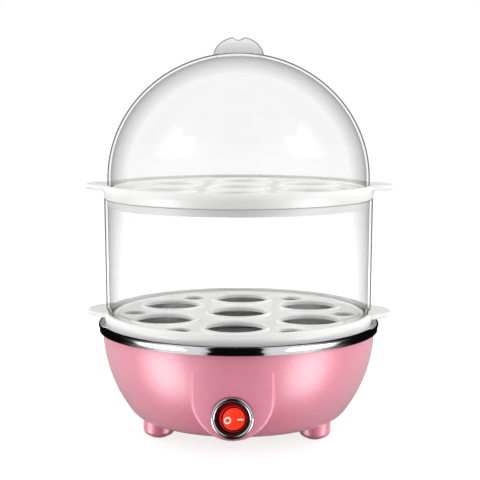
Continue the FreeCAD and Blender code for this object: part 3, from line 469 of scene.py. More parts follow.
BRASS = WorkedMetal(  # stamped brass strip
    "stamped_brass", "C9A560", 0.25, metallic=1.0, colour_shift=0.08, grain_mm=0.4)
SPRING_STEEL = WorkedMetal(  # hard-drawn music wire
    "drawn_spring_wire", "A2A5A9", 0.22, metallic=1.0, grain_mm=0.3, blotch_mm=1.0)
CERAMIC = Finish(  # steatite, pressed and fired: chalky
    "steatite_ceramic", "EFEAE0", 0.65, ior=1.6, grain_mm=0.4, relief_mm=0.02)
GLASS_BRAID = BraidedGlass(  # varnished glass-fibre braid
    "braided_glass_sleeve", "EDE8DA", 0.6)
VINYL_SLEEVE = Finish(  # soft vinyl, dip moulded: milky and glossy
    "soft_vinyl", "DEDAD0", 0.3, ior=1.53, scatter_mm=0.8, grain_mm=1.0)
BROWN_WIRE = Finish(  # extruded silicone insulation, brown
    "brown_silicone_insulation", "5B3521", 0.45, ior=1.41, grain_mm=0.8, relief_mm=0.01)
WHITE_WIRE = Finish(  # extruded silicone insulation, white
    "white_silicone_insulation", "E4E1D8", 0.45, ior=1.41, grain_mm=0.8, relief_mm=0.01)
BLUE_WIRE = Finish(  # extruded silicone insulation, blue
    "blue_silicone_insulation", "2B5CA6", 0.45, ior=1.41, grain_mm=0.8, relief_mm=0.01)
LAMP_GLASS = Finish(  # soda glass bulb with a warm glow
    "neon_lamp_glass", "F2C9A0", 0.08, ior=1.52, grain_mm=1.5, relief_mm=0.002)


# ------------------------------------------------------------------------------------------- outlines and meshes
def rounded(corners: Sequence[Corner], closed: bool = True, steps: int = ROUND_STEPS) -> list[Point2]:
    """Rounds the corners of an outline.

    Args:
        corners: (x, y) or (x, y, radius) points in order.
        closed: whether the last point joins the first.
        steps: how many pieces each rounded corner has.

    Returns:
        The outline's points.
    """
    points: list[Point2] = []
    count = len(corners)
    for i, corner in enumerate(corners):
        here = Vector(corner[:2])
        radius = corner[2] if len(corner) > 2 else 0.0
        if not radius or (not closed and i in (0, count - 1)):
            points.append((here.x, here.y))
            continue
        before = (Vector(corners[i - 1][:2]) - here).normalized()
        after = (Vector(corners[(i + 1) % count][:2]) - here).normalized()
        half = before.angle(after) / 2
        start = here + before * radius / math.tan(half)
        centre = here + (before + after).normalized() * radius / math.sin(half)
        sweep = (start - centre).angle_signed(here + after * radius / math.tan(half) - centre)
        for k in range(steps + 1):
            spoke = (start - centre).copy()
            spoke.rotate(Matrix.Rotation(-sweep * k / steps, 2))
            points.append(tuple(centre + spoke))
    return points


def offset_line(points: Sequence[Point2], distance: float) -> list[Point2]:
    """Moves an open line sideways, to the right of its direction when distance is above 0.

    Args:
        points: the line's points.
        distance: how far it moves.

    Returns:
        As many points, moved.
    """
    moved = []
    for i, point in enumerate(points):
        before = Vector(points[max(i - 1, 0)])
        after = Vector(points[min(i + 1, len(points) - 1)])
        along = (after - before).normalized()
        moved.append((point[0] + along.y * distance, point[1] - along.x * distance))
    return moved


def finish_mesh(build: bmesh.types.BMesh, name: str, materials: Sequence[bpy.types.Material],
                crease: float = CREASE) -> bpy.types.Object:
    """Turns a bmesh into a shaded object at the origin, in the shared frame.

    Args:
        build: the mesh, in millimetres, which is freed.
        name: the object's name.
        materials: its material slots in order.
        crease: edges sharper than this angle stay crisp.

    Returns:
        The new object.
    """
    bmesh.ops.remove_doubles(build, verts=build.verts, dist=1e-4)
    bmesh.ops.recalc_face_normals(build, faces=build.faces)
    bmesh.ops.scale(build, vec=(MM, MM, MM), verts=build.verts)
    for face in build.faces:
        face.smooth = True
    mesh = bpy.data.meshes.new(name)
    build.to_mesh(mesh)
    build.free()
    for material in materials:
        mesh.materials.append(material)
    mesh.set_sharp_from_angle(angle=crease)
    piece = bpy.data.objects.new(name, mesh)
    bpy.context.scene.collection.objects.link(piece)
    return piece


def turn_profile(build: bmesh.types.BMesh, profile: Sequence[Point2], segments: int, closed: bool = True,
                 skins: Sequence[int] | None = None, centre: Point2 = (0.0, 0.0)) -> list[list[bmesh.types.BMVert]]:
    """Turns a profile of (radius, height) points about an upright axis.

    Args:
        build: the mesh to add to.
        profile: the points; one at radius 0 becomes a pole.
        segments: faces round the turn.
        closed: whether the last point joins the first.
        skins: a material slot for each stretch of the profile.
        centre: the axis's (x, y).

    Returns:
        The ring of vertices made at each point; a pole's ring is one vertex, repeated.
    """
    rings: list[list[bmesh.types.BMVert]] = []
    for radius, height in profile:
        if radius < 1e-6:
            pole = build.verts.new((centre[0], centre[1], height))
            rings.append([pole] * segments)
            continue
        ring = []
        for k in range(segments):
            angle = 2 * math.pi * k / segments
            ring.append(build.verts.new((
                centre[0] + radius * math.cos(angle), centre[1] + radius * math.sin(angle), height)))
        rings.append(ring)
    last = len(rings) if closed else len(rings) - 1
    for i in range(last):
        join_rings(build, rings[i], rings[(i + 1) % len(rings)], skins[i] if skins else 0)
    return rings


def join_rings(build: bmesh.types.BMesh, low: Sequence[bmesh.types.BMVert], high: Sequence[bmesh.types.BMVert],
               skin: int = 0) -> None:
    """Joins two rings of as many vertices with a band of faces.

    Args:
        build: the mesh that holds them.
        low: the first ring.
        high: the second ring.
        skin: the faces' material slot.
    """
    count = len(low)
    for k in range(count):
        corners = [low[k], low[(k + 1) % count], high[(k + 1) % count], high[k]]
        unique = list(dict.fromkeys(corners))
        if len(unique) > 2:
            build.faces.new(unique).material_index = skin


def turned_piece(name: str, profile: Sequence[Point2], finish: Finish,
                 segments: int = BIG_ROUND) -> bpy.types.Object:
    """One solid of revolution with one finish.

    Args:
        name: the piece's name.
        profile: its closed profile.
        finish: what it is made of.
        segments: faces round the turn.

    Returns:
        The new object.
    """
    build = bmesh.new()
    turn_profile(build, profile, segments)
    return finish_mesh(build, name, [finish.material()])


def bar_along_y(name: str, profile: Sequence[Point2], x: float, z: float,
                segments: int = SMALL_ROUND) -> bpy.types.Object:
    """A solid turned about a line along Y.

    Args:
        name: the object's name.
        profile: closed (radius, y) points.
        x: the line's x.
        z: the line's z.
        segments: faces round the turn.

    Returns:
        The new object.
    """
    build = bmesh.new()
    turn_profile(build, profile, segments)
    build.transform(Matrix.Translation((x, 0, z)) @ Matrix.Rotation(math.radians(-90), 4, "X"))
    return finish_mesh(build, name, [])


class Cut(Enum):
    """How one solid changes another."""

    JOIN = "UNION"
    TAKE_AWAY = "DIFFERENCE"


def combined(piece: bpy.types.Object, tools: Iterable[bpy.types.Object], cut: Cut) -> bpy.types.Object:
    """Joins tools to a piece or takes them away from it, then deletes them.

    Args:
        piece: the solid that stays.
        tools: the solids used on it.
        cut: whether they are joined or taken away.

    Returns:
        The same piece with its new mesh.
    """
    tools = list(tools)
    for tool in tools:
        change = piece.modifiers.new("change", "BOOLEAN")
        change.operation = cut.value
        change.solver = "EXACT"
        change.object = tool
    swap_in_evaluated(piece)
    for tool in tools:
        bpy.data.meshes.remove(tool.data)
    return piece


def swap_in_evaluated(piece: bpy.types.Object) -> None:
    """Replaces a piece's mesh by what its modifiers make of it, and removes them."""
    bpy.context.view_layer.update()
    evaluated = piece.evaluated_get(bpy.context.evaluated_depsgraph_get())
    mesh = bpy.data.meshes.new_from_object(evaluated)
    piece.modifiers.clear()
    old = piece.data
    piece.data = mesh
    mesh.name = piece.name
    if old.users == 0:
        bpy.data.meshes.remove(old)


def shade(piece: bpy.types.Object, crease: float = CREASE) -> bpy.types.Object:
    """Smooths a piece but for its crisp edges."""
    piece.data.polygons.foreach_set("use_smooth", [True] * len(piece.data.polygons))
    piece.data.set_sharp_from_angle(angle=crease)
    return piece


def settle(piece: bpy.types.Object, body: str, nodes: Sequence[str]) -> bpy.types.Object:
    """Says what a finished piece rides on and stands for.

    Args:
        piece: the finished piece.
        body: the CAD body it moves with.
        nodes: the CAD nodes it replaces.

    Returns:
        The same piece.
    """
    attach(piece, body)
    if nodes:
        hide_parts(*nodes)
    LOG.info("%s: %d faces, rides on %s", piece.name, len(piece.data.polygons), body)
    return piece


def dress(node: str, finish: Finish) -> None:
    """Gives a carried-over CAD node its finish; its mesh stays as it is.

    Args:
        node: the CAD node's name.
        finish: what it is made of.
    """
    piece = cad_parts[node]
    piece.data.materials.clear()
    piece.data.materials.append(finish.material())
    LOG.info("%s: dressed in %s", node, finish.name)


# ------------------------------------------------------------------------------------------- repeated features
@dataclass(frozen=True)
class RingOfCopies:
    """Copies of a small part set out evenly on a circle, by Geometry Nodes."""

    copies: int
    radius: float
    start_deg: float = 0.0
    height: float = 0.0

    def tree(self, source: bpy.types.Object, material: bpy.types.Material) -> bpy.types.NodeTree:
        """Builds the node tree: a circle of points, a copy on each turned to face out, made real and dressed.

        Args:
            source: the part that is copied.
            material: what the copies are made of.

        Returns:
            The node tree, with named inputs for its sizes.
        """
        tree = bpy.data.node_groups.new("ring_of_copies", "GeometryNodeTree")
        tree.interface.new_socket("Geometry", in_out="OUTPUT", socket_type="NodeSocketGeometry")
        for name, kind in (("Geometry", "Geometry"), ("Copies", "Int"), ("Radius", "Float"),
                           ("Start angle", "Float"), ("Height", "Float"), ("Source", "Object")):
            tree.interface.new_socket(name, in_out="INPUT", socket_type="NodeSocket" + kind)
        sizes = add(tree, "NodeGroupInput").outputs
        circle = add(tree, "GeometryNodeMeshCircle", {"Vertices": sizes["Copies"], "Radius": sizes["Radius"]})
        lift = add(tree, "ShaderNodeCombineXYZ", {"X": 0.0, "Y": 0.0, "Z": sizes["Height"]}).outputs[0]
        turn = add(tree, "ShaderNodeCombineXYZ", {"X": 0.0, "Y": 0.0, "Z": sizes["Start angle"]}).outputs[0]
        places = add(tree, "GeometryNodeTransform", {
            "Geometry": circle.outputs["Mesh"], "Translation": lift, "Rotation": turn})
        spot = add(tree, "GeometryNodeInputPosition").outputs[0]
        flat = add(tree, "ShaderNodeVectorMath", {0: spot, 1: (1.0, 1.0, 0.0)}, operation="MULTIPLY").outputs[0]
        outwards = add(tree, "FunctionNodeAlignRotationToVector", {"Vector": flat}, axis="X", pivot_axis="Z")
        part = add(tree, "GeometryNodeObjectInfo", {"Object": sizes["Source"]})
        spread = add(tree, "GeometryNodeInstanceOnPoints", {
            "Points": places.outputs["Geometry"], "Instance": part.outputs["Geometry"],
            "Rotation": outwards.outputs[0]})
        real = add(tree, "GeometryNodeRealizeInstances", {"Geometry": spread.outputs["Instances"]})
        dressed = add(tree, "GeometryNodeSetMaterial", {"Geometry": real.outputs[0], "Material": material})
        add(tree, "NodeGroupOutput", {"Geometry": dressed.outputs["Geometry"]})
        return tree

    def piece(self, name: str, source: bpy.types.Object, material: bpy.types.Material) -> bpy.types.Object:
        """Makes the copies a plain mesh and deletes the part that they were copied from.

        Args:
            name: the new piece's name.
            source: the part, drawn at the origin in the shared frame's metres.
            material: what the copies are made of.

        Returns:
            One object that holds every copy.
        """
        holder = bpy.data.objects.new(name, bpy.data.meshes.new(name))
        bpy.context.scene.collection.objects.link(holder)
        change = holder.modifiers.new("ring", "NODES")
        change.node_group = self.tree(source, material)
        values = {
            "Copies": self.copies, "Radius": self.radius * MM, "Start angle": math.radians(self.start_deg),
            "Height": self.height * MM, "Source": source,
        }
        for item in change.node_group.interface.items_tree:
            if item.in_out == "INPUT" and item.name in values:
                change[item.identifier] = values[item.name]
        swap_in_evaluated(holder)
        bpy.data.meshes.remove(source.data)
        return holder


def joined(pieces: Sequence[bpy.types.Object]) -> bmesh.types.BMesh:
    """Adds several objects' meshes into one bmesh in millimetres, and deletes the objects.

    Args:
        pieces: the objects.

    Returns:
        The bmesh.
    """
    build = bmesh.new()
    for piece in pieces:
        build.from_mesh(piece.data)
        bpy.data.meshes.remove(piece.data)
    bmesh.ops.scale(build, vec=(1 / MM,) * 3, verts=build.verts)
    LOG.debug("%d parts joined", len(pieces))
    return build


# ------------------------------------------------------------------------------------------- the base
@dataclass
class HeatedBase:
    """The pink shell with its switch boss, feet and cord collar, and what closes it below."""

    sphere_r: float = 80.0
    centre_z: float = 61.0
    floor_z: float = 8.0
    top_z: float = 60.6
    wall: float = 2.2
    corner_r: float = 13.0
    boss_half: float = 22.8
    boss_face_r: float = 79.2
    boss_bottom_z: float = 12.2
    boss_edge_r: float = 1.6
    opening_r: float = 30.0
    cover_r: float = 38.3
    ledge_z: float = 9.4
    foot_ring_r: float = 52.0
    cover_screw_r: float = 34.0
    foot_r: float = 9.0
    foot_z: float = 0.9
    pad_r: float = 4.6
    switch_y: float = -78.3
    collar_r: float = 9.0
    first_foot_deg: float = 90.0
    post_r: float = 4.6
    post_top_z: float = 36.0
    cover_boss_r: float = 3.2
    cover_boss_top_z: float = 15.0
    pad_top_z: float = 2.4
    screw_head_r: float = 3.3
    screw_head_z: float = 14.0
    screw_shank_r: float = 1.7
    screw_shank_z: float = 37.0
    bezel_room_r: float = 12.0
    panel_hole_r: float = 10.2
    grommet_room_r: float = 8.0
    cord_hole_r: float = 5.2

    def bowl_profile(self, radius: float, floor: float, corner: float, top: float) -> list[Point2]:
        """The bowl's solid profile from its axis to its brim.

        Args:
            radius: the sphere's radius.
            floor: height of its flat underside.
            corner: radius between that underside and the sphere.
            top: height of the brim.

        Returns:
            A closed profile that starts and ends on the axis.
        """
        centre = Vector((0.0, self.centre_z))
        height = floor + corner - self.centre_z
        reach = math.sqrt((radius - corner) ** 2 - height ** 2)
        touch = (Vector((reach, floor + corner)) - centre).normalized() * radius + centre
        points = [(0.0, floor)]
        low_angle = -math.pi / 2
        high_angle = math.atan2(touch.y - floor - corner, touch.x - reach)
        for k in range(13):
            angle = low_angle + (high_angle - low_angle) * k / 12
            points.append((reach + corner * math.cos(angle), floor + corner + corner * math.sin(angle)))
        start = math.atan2(touch.y - self.centre_z, touch.x)
        end = math.asin((top - self.centre_z) / radius)
        for k in range(1, 49):
            angle = start + (end - start) * k / 48
            points.append((radius * math.cos(angle), self.centre_z + radius * math.sin(angle)))
        points.append((0.0, top))
        return points

    def boss(self) -> bpy.types.Object:
        """The U-shaped switch boss as a closed solid: a curved face, a rounded edge and sides that run back."""
        curve_z = self.boss_bottom_z + self.boss_half
        outline: list[Point2] = []
        straight = 14
        for k in range(straight):
            outline.append((-self.boss_half, self.top_z - (self.top_z - curve_z) * k / straight))
        for k in range(61):
            angle = math.pi + math.pi * k / 60
            outline.append((self.boss_half * math.cos(angle), curve_z + self.boss_half * math.sin(angle)))
        for k in range(1, straight + 1):
            outline.append((self.boss_half, curve_z + (self.top_z - curve_z) * k / straight))
        build = bmesh.new()
        rows = []
        back_y = -55.0
        rows.append([build.verts.new((x, back_y, z)) for x, z in outline])
        steps = 8
        for k in range(steps + 1):
            angle = math.pi / 2 * k / steps
            inset = self.boss_edge_r * (1 - math.sin(math.pi / 2 - angle))
            drop = self.boss_edge_r * (1 - math.sin(angle))
            rows.append([build.verts.new(self.boss_point(x, z, curve_z, inset, drop)) for x, z in outline])
        for k in range(1, 12):
            inset = self.boss_edge_r + (self.boss_half - self.boss_edge_r) * k / 12
            rows.append([build.verts.new(self.boss_point(x, z, curve_z, inset, 0.0)) for x, z in outline])
        spine = [build.verts.new((0.0, -self.boss_face_r, max(z, curve_z))) for x, z in outline]
        rows.append(spine)
        for low, high in zip(rows, rows[1:]):
            for k in range(len(outline) - 1):
                corners = list(dict.fromkeys([low[k], low[k + 1], high[k + 1], high[k]]))
                build.faces.new(corners)
        bmesh.ops.remove_doubles(build, verts=build.verts, dist=1e-4)
        bmesh.ops.holes_fill(build, edges=[e for e in build.edges if e.is_boundary], sides=0)
        return finish_mesh(build, "boss", [])

    def boss_point(self, x: float, z: float, curve_z: float, inset: float,
                   drop: float) -> tuple[float, float, float]:
        """A point of the boss's face, drawn in from its outline and dropped back from its surface.

        Args:
            x: the outline point's x.
            z: the outline point's height.
            curve_z: where the outline's round bottom starts.
            inset: how far in from the outline.
            drop: how far behind the curved face.

        Returns:
            The point.
        """
        share = 1 - inset / self.boss_half
        new_x = x * share
        new_z = z if z > curve_z else curve_z + (z - curve_z) * share
        radius = self.boss_face_r - drop
        return new_x, -math.sqrt(radius ** 2 - new_x ** 2), new_z

    def foot(self) -> bpy.types.Object:
        """One foot, at the origin: a stub with a rounded rim."""
        profile = rounded([(0, self.foot_z), (self.foot_r, self.foot_z, 3.8), (self.foot_r, 14.0), (0, 14.0)])
        build = bmesh.new()
        turn_profile(build, profile, SMALL_ROUND)
        return finish_mesh(build, "foot", [])

    def shell(self) -> bpy.types.Object:
        """The moulded shell, cut hollow, with its switch seat, cord hole, screw recesses and bottom opening."""
        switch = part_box("switch_housing")
        switch_z = (switch[0].z + switch[1].z) / 2 / MM
        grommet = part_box("cord_grommet")
        grommet_z = (grommet[0].z + grommet[1].z) / 2 / MM
        inner_floor = self.floor_z + self.wall
        build = bmesh.new()
        turn_profile(build, self.bowl_profile(self.sphere_r, self.floor_z, self.corner_r, self.top_z), BIG_ROUND,
                     closed=False)
        piece = finish_mesh(build, "base_shell_moulding", [PINK_SHELL.material()])
        collar_face = grommet[1].y / MM - 2.4
        collar = bar_along_y("collar", rounded([
            (0, 58.0), (self.collar_r, 58.0), (self.collar_r, collar_face, 0.8), (0, collar_face)]), 0, grommet_z)
        ring = RingOfCopies(3, self.foot_ring_r, self.first_foot_deg)
        feet = ring.piece("feet", self.foot(), PINK_SHELL.material())
        combined(piece, [self.boss(), collar, feet], Cut.JOIN)
        inner = self.bowl_profile(self.sphere_r - self.wall, self.floor_z + self.wall, self.corner_r - self.wall,
                                  self.top_z + 1.0)
        build = bmesh.new()
        turn_profile(build, inner, BIG_ROUND, closed=False)
        hollow = finish_mesh(build, "hollow", [])
        combined(piece, [hollow], Cut.TAKE_AWAY)
        post = turned_piece("post", [
            (0, inner_floor - 0.5), (self.post_r, inner_floor - 0.5), (self.post_r, self.post_top_z),
            (0, self.post_top_z)], PINK_SHELL, SMALL_ROUND)
        bosses = RingOfCopies(3, self.cover_screw_r, self.first_foot_deg)
        cover_boss = turned_piece("cover_boss", [
            (0, self.ledge_z + 0.1), (self.cover_boss_r, self.ledge_z + 0.1),
            (self.cover_boss_r, self.cover_boss_top_z), (0, self.cover_boss_top_z)], PINK_SHELL, SMALL_ROUND)
        combined(piece, [ring.piece("posts", post, PINK_SHELL.material()),
                         bosses.piece("cover_bosses", cover_boss, PINK_SHELL.material())], Cut.JOIN)
        opening = turned_piece("opening", [
            (0, 0.0), (self.cover_r, 0.0), (self.cover_r, self.ledge_z), (self.opening_r, self.ledge_z),
            (self.opening_r, inner_floor + 1), (0, inner_floor + 1)], PINK_SHELL, SMALL_ROUND)
        seat = bar_along_y("seat", [
            (0, -90.0), (self.bezel_room_r, -90.0), (self.bezel_room_r, self.switch_y),
            (self.panel_hole_r, self.switch_y), (self.panel_hole_r, -55.0), (0, -55.0)],
            0, switch_z)
        bore = bar_along_y("bore", [
            (0, 50.0), (self.grommet_room_r, 50.0), (self.grommet_room_r, collar_face - 4.0),
            (self.cord_hole_r, collar_face - 4.0), (self.cord_hole_r, 90.0), (0, 90.0)],
            0, grommet_z)
        build = bmesh.new()
        turn_profile(build, [
            (0, -1.0), (self.pad_r + 0.15, -1.0), (self.pad_r + 0.15, self.pad_top_z),
            (self.screw_head_r, self.pad_top_z), (self.screw_head_r, self.screw_head_z),
            (self.screw_shank_r, self.screw_head_z), (self.screw_shank_r, self.screw_shank_z),
            (0, self.screw_shank_z)], SMALL_ROUND)
        recesses = ring.piece("recesses", finish_mesh(build, "recess", []), PINK_SHELL.material())
        combined(piece, [opening, seat, bore, recesses], Cut.TAKE_AWAY)
        return settle(shade(piece), "base", ["base_shell"])

    def pads(self) -> bpy.types.Object:
        """Three rubber pads with a ringed tread."""
        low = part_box("foot_pads")[0].z / MM
        tread = [(0.0, low + 0.25), (1.1, low + 0.25, 0.1), (1.4, low, 0.1), (2.4, low, 0.1), (2.7, low + 0.25, 0.1),
                 (3.3, low + 0.25, 0.1), (3.6, low, 0.1), (self.pad_r, low, 0.5), (self.pad_r, self.pad_top_z),
                 (3.2, self.pad_top_z), (3.2, 6.0, 0.6), (0.0, 6.0)]
        build = bmesh.new()
        turn_profile(build, rounded(tread), 64)
        pad = finish_mesh(build, "pad", [])
        ring = RingOfCopies(3, self.foot_ring_r, self.first_foot_deg)
        return settle(shade(ring.piece("foot_pads_ringed", pad, PAD_RUBBER.material())), "base", ["foot_pads"])

    def build(self) -> None:
        """Makes the shell and pads and dresses the cover and its screws."""
        self.shell()
        self.pads()
        dress("bottom_cover", PINK_COVER)
        dress("bottom_cover_screws", ZINC_SCREW)


@dataclass
class WaterDish:
    """The pressed stainless dish, its bright rolled rim and the pieces that tie it down."""

    rim_r: float = 82.0
    rim_height: float = 4.7
    inner_rim_r: float = 79.6
    seat_drop: float = 1.9
    wall_r: float = 76.9
    sheet: float = 0.6

    def build(self) -> None:
        """Turns the dish from its outer skin and its thickness, and dresses the rest."""
        low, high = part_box("heating_dish")
        top = high.z / MM
        floor = low.z / MM + 2 * self.sheet
        seat = top - self.seat_drop
        skin = rounded([
            (self.rim_r, top - self.rim_height), (self.rim_r, top, 1.3), (self.inner_rim_r, top, 0.6),
            (self.inner_rim_r, seat, 0.7), (self.wall_r, seat, 0.7), (self.wall_r, 55.0, 4.0), (66.0, floor, 7.0),
            (40.0, floor, 3.0), (36.5, floor - self.sheet, 3.0), (0.0, floor - self.sheet),
        ], closed=False, steps=8)
        back = offset_line(skin, self.sheet)
        back[0] = (skin[0][0] - self.sheet, skin[0][1])
        back[-1] = (0.0, skin[-1][1] - self.sheet)
        piece = turned_open("water_dish_pressing", skin, back, MIRROR_STEEL)
        settle(piece, "base", ["heating_dish"])
        dress("dish_seal", SILICONE)
        dress("dish_brackets", BRACKET_STEEL)
        dress("dish_nuts", ZINC_SCREW)
        dress("dish_screws", ZINC_SCREW)


def turned_open(name: str, skin: Sequence[Point2], back: Sequence[Point2], finish: Finish) -> bpy.types.Object:
    """A turned sheet whose two skins both end on the axis.

    Args:
        name: the piece's name.
        skin: the shown skin's points, from its rim to the axis.
        back: the hidden skin's points, as many.
        finish: what it is made of.

    Returns:
        The new object.
    """
    build = bmesh.new()
    turn_profile(build, list(reversed(skin)) + list(back), BIG_ROUND, closed=False)
    return finish_mesh(build, name, [finish.material()])


@dataclass
class HeaterAndWiring:
    """Everything sealed under the dish: element, thermostat, fuse, terminal block and leads."""

    finishes: dict[str, Finish] = field(default_factory=lambda: {
        "heat_spreader": CAST_ALUMINIUM, "heater_tube": OXIDISED_STEEL, "heater_seals": CERAMIC,
        "heater_pins": OXIDISED_STEEL, "thermostat_cap": CAST_ALUMINIUM, "thermostat_body": BLACK_PHENOLIC,
        "thermostat_blades": BRASS, "thermostat_bracket": BRACKET_STEEL, "thermostat_screws": ZINC_SCREW,
        "thermal_fuse": BRASS, "fuse_sleeve": GLASS_BRAID, "cord_grommet": GROMMET_RUBBER,
        "terminal_block": WHITE_NYLON, "terminal_screws": ZINC_SCREW, "spade_sleeves": VINYL_SLEEVE,
        "live_lead": BROWN_WIRE, "switched_lead": BROWN_WIRE, "fuse_lead": WHITE_WIRE,
        "heater_lead": WHITE_WIRE, "neutral_lead": BLUE_WIRE,
    })

    def build(self) -> None:
        """Dresses each CAD node in what it is made of."""
        for node, finish in self.finishes.items():
            dress(node, finish)


# ------------------------------------------------------------------------------------------- the switch
@dataclass
class RockerSwitch:
    """The round see-saw switch: bright ring, black body and red button with its two marks."""

    seat_y: float = -78.3
    pivot_depth: float = 2.6
    tilt_deg: float = 10.0
    face_r: float = 6.0
    face_z: float = 2.6
    scoop: float = 0.5
    mark_lift: float = 0.04

    def place(self, build: bmesh.types.BMesh, tilted: bool) -> None:
        """Moves a mesh drawn with its front towards +Z into the switch's place.

        Args:
            build: the mesh, in millimetres.
            tilted: whether it turns with the rocker's rest tilt.
        """
        low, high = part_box("switch_housing")
        middle_z = (low.z + high.z) / 2 / MM
        build.transform(Matrix.Translation((0, self.seat_y, middle_z)) @ Matrix.Rotation(math.radians(90), 4, "X"))
        if tilted:
            about = Matrix.Translation((0, self.seat_y + self.pivot_depth, 0))
            build.transform(about @ Matrix.Rotation(math.radians(self.tilt_deg), 4, "Z") @ about.inverted())

    def bezel(self) -> bpy.types.Object:
        """The bright ring: flat back and a round front."""
        profile = rounded([
            (9.35, 1.05), (10.9, 1.05), (10.9, 0.02), (11.5, 0.02), (11.5, 2.4, 1.07), (9.35, 2.4, 1.07)], steps=10)
        build = bmesh.new()
        turn_profile(build, profile, 128)
        self.place(build, tilted=False)
        piece = finish_mesh(build, "switch_bezel_ring", [BEZEL_CHROME.material()])
        return settle(piece, "base", ["switch_bezel"])

    def scooped(self, x: float) -> float:
        """Height of the button's face at a distance from its upright middle line."""
        return self.face_z - self.scoop * (1 - min(1.0, (x / self.face_r) ** 2))

    def button(self) -> bpy.types.Object:
        """The red button: a flared skirt, a raised rim, a groove drawn in painted shade and a face scooped from side
        to side.
        """
        skirt = rounded([
            (6.6, -1.2), (6.6, -5.0), (7.4, -5.0, 0.3), (7.8, 0.2, 1.0), (7.1, 2.6, 0.12), (6.8, 2.6, 0.12),
            (6.8, 1.4), (self.face_r, 1.4)], closed=False)
        # the groove's faces take slot 2, the painted groove shade
        groove = [after[0] < 6.85 and 1.0 < after[1] < 2.5 for after in skirt[1:]]
        build = bmesh.new()
        rings = turn_profile(build, skirt, SMALL_ROUND, closed=False, skins=[2 if dark else 0 for dark in groove])
        rows = 20
        edge = rings[-1]
        for k in range(rows + 1):
            radius = self.face_r * (1 - k / rows)
            if k == rows:
                ring = [build.verts.new((0, 0, self.scooped(0)))] * SMALL_ROUND
            else:
                ring = []
                for s in range(SMALL_ROUND):
                    angle = 2 * math.pi * s / SMALL_ROUND
                    x, y = radius * math.cos(angle), radius * math.sin(angle)
                    ring.append(build.verts.new((x, y, self.scooped(x))))
            # the groove's inner wall up to the face also takes the painted groove shade, slot 2
            join_rings(build, edge, ring, 1 if k else 2)
            edge = ring
        under = build.verts.new((0, 0, -1.2))
        join_rings(build, rings[0], [under] * SMALL_ROUND)
        self.place(build, tilted=True)
        skins = [finish.material() for finish in (RED_ROCKER, RED_FACE, RED_GROOVE_PAINTED_SHADE)]
        piece = finish_mesh(build, "rocker_button", skins)
        return settle(piece, "rocker", [])

    def stem(self) -> bpy.types.Object:
        """What holds the button: two pivot stubs and the plunger's tube behind it."""
        build = bmesh.new()
        turn_profile(build, rounded([(1.3, -6.4), (2.0, -6.4, 0.2), (2.0, -1.3), (1.3, -1.3)]), 48)
        for side in (-1, 1):
            stub = bmesh.new()
            turn_profile(stub, rounded([(0, 6.6), (1.15, 6.6), (1.15, 9.3, 0.2), (0, 9.3)]), 32)
            turn = Matrix.Rotation(math.radians(-90 * side), 4, "X")
            stub.transform(Matrix.Translation((0, 0, -self.pivot_depth)) @ turn)
            mesh = bpy.data.meshes.new("stub")
            stub.to_mesh(mesh)
            stub.free()
            build.from_mesh(mesh)
            bpy.data.meshes.remove(mesh)
        self.place(build, tilted=True)
        piece = finish_mesh(build, "rocker_stem", [RED_ROCKER.material()])
        return settle(piece, "rocker", ["switch_rocker"])

    def mark(self, name: str, rows: Sequence[Sequence[Point2]], loop: bool) -> bpy.types.Object:
        """A printed mark that follows the scooped face.

        Args:
            name: the piece's name.
            rows: lines of (x, y) points across the mark, as many in each.
            loop: whether each line closes on itself.

        Returns:
            The printed mark, a thin closed layer.
        """
        build = bmesh.new()
        layers = []
        for lift in (self.mark_lift, 0.01):
            layers.append([[build.verts.new((x, y, self.scooped(x) + lift)) for x, y in row] for row in rows])
        count = len(rows[0])
        last = count if loop else count - 1
        for layer in layers:
            for low, high in zip(layer, layer[1:]):
                for k in range(last):
                    build.faces.new([low[k], low[(k + 1) % count], high[(k + 1) % count], high[k]])
        if loop:
            for row in (0, -1):
                join_rings(build, layers[0][row], layers[1][row])
        else:
            bmesh.ops.bridge_loops(build, edges=[e for e in build.edges if e.is_boundary])
        self.place(build, tilted=True)
        piece = finish_mesh(build, name, [WHITE_INK.material()])
        return settle(piece, "rocker", [])

    def marks(self) -> None:
        """Prints the generic off ring on the left and the on bar on the right."""
        ring_x, ring_y, outer, inner = -3.37, -0.6, 1.89, 1.27
        rows = []
        for radius in (outer, 0.5 * (outer + inner), inner):
            spokes = [2 * math.pi * k / 40 for k in range(40)]
            rows.append([(ring_x + radius * math.cos(a), ring_y + radius * math.sin(a)) for a in spokes])
        self.mark("mark_off_ring", rows, loop=True)
        bar_x, bar_y, half_length, half_height = 3.6, -0.37, 1.5, 0.34
        rows = []
        for y in (-half_height, 0.0, half_height):
            rows.append([(bar_x - half_length + 2 * half_length * k / 10, bar_y + y) for k in range(11)])
        self.mark("mark_on_bar", rows, loop=False)

    def build(self) -> None:
        """Makes the ring, button and marks and dresses the inside."""
        self.bezel()
        self.button()
        self.stem()
        self.marks()
        dress("switch_housing", BLACK_NYLON)
        dress("switch_blades", BRASS)
        dress("rocker_plunger", WHITE_NYLON)
        dress("plunger_spring", SPRING_STEEL)
        dress("contact_lever", BRASS)
        dress("neon_lamp", LAMP_GLASS)


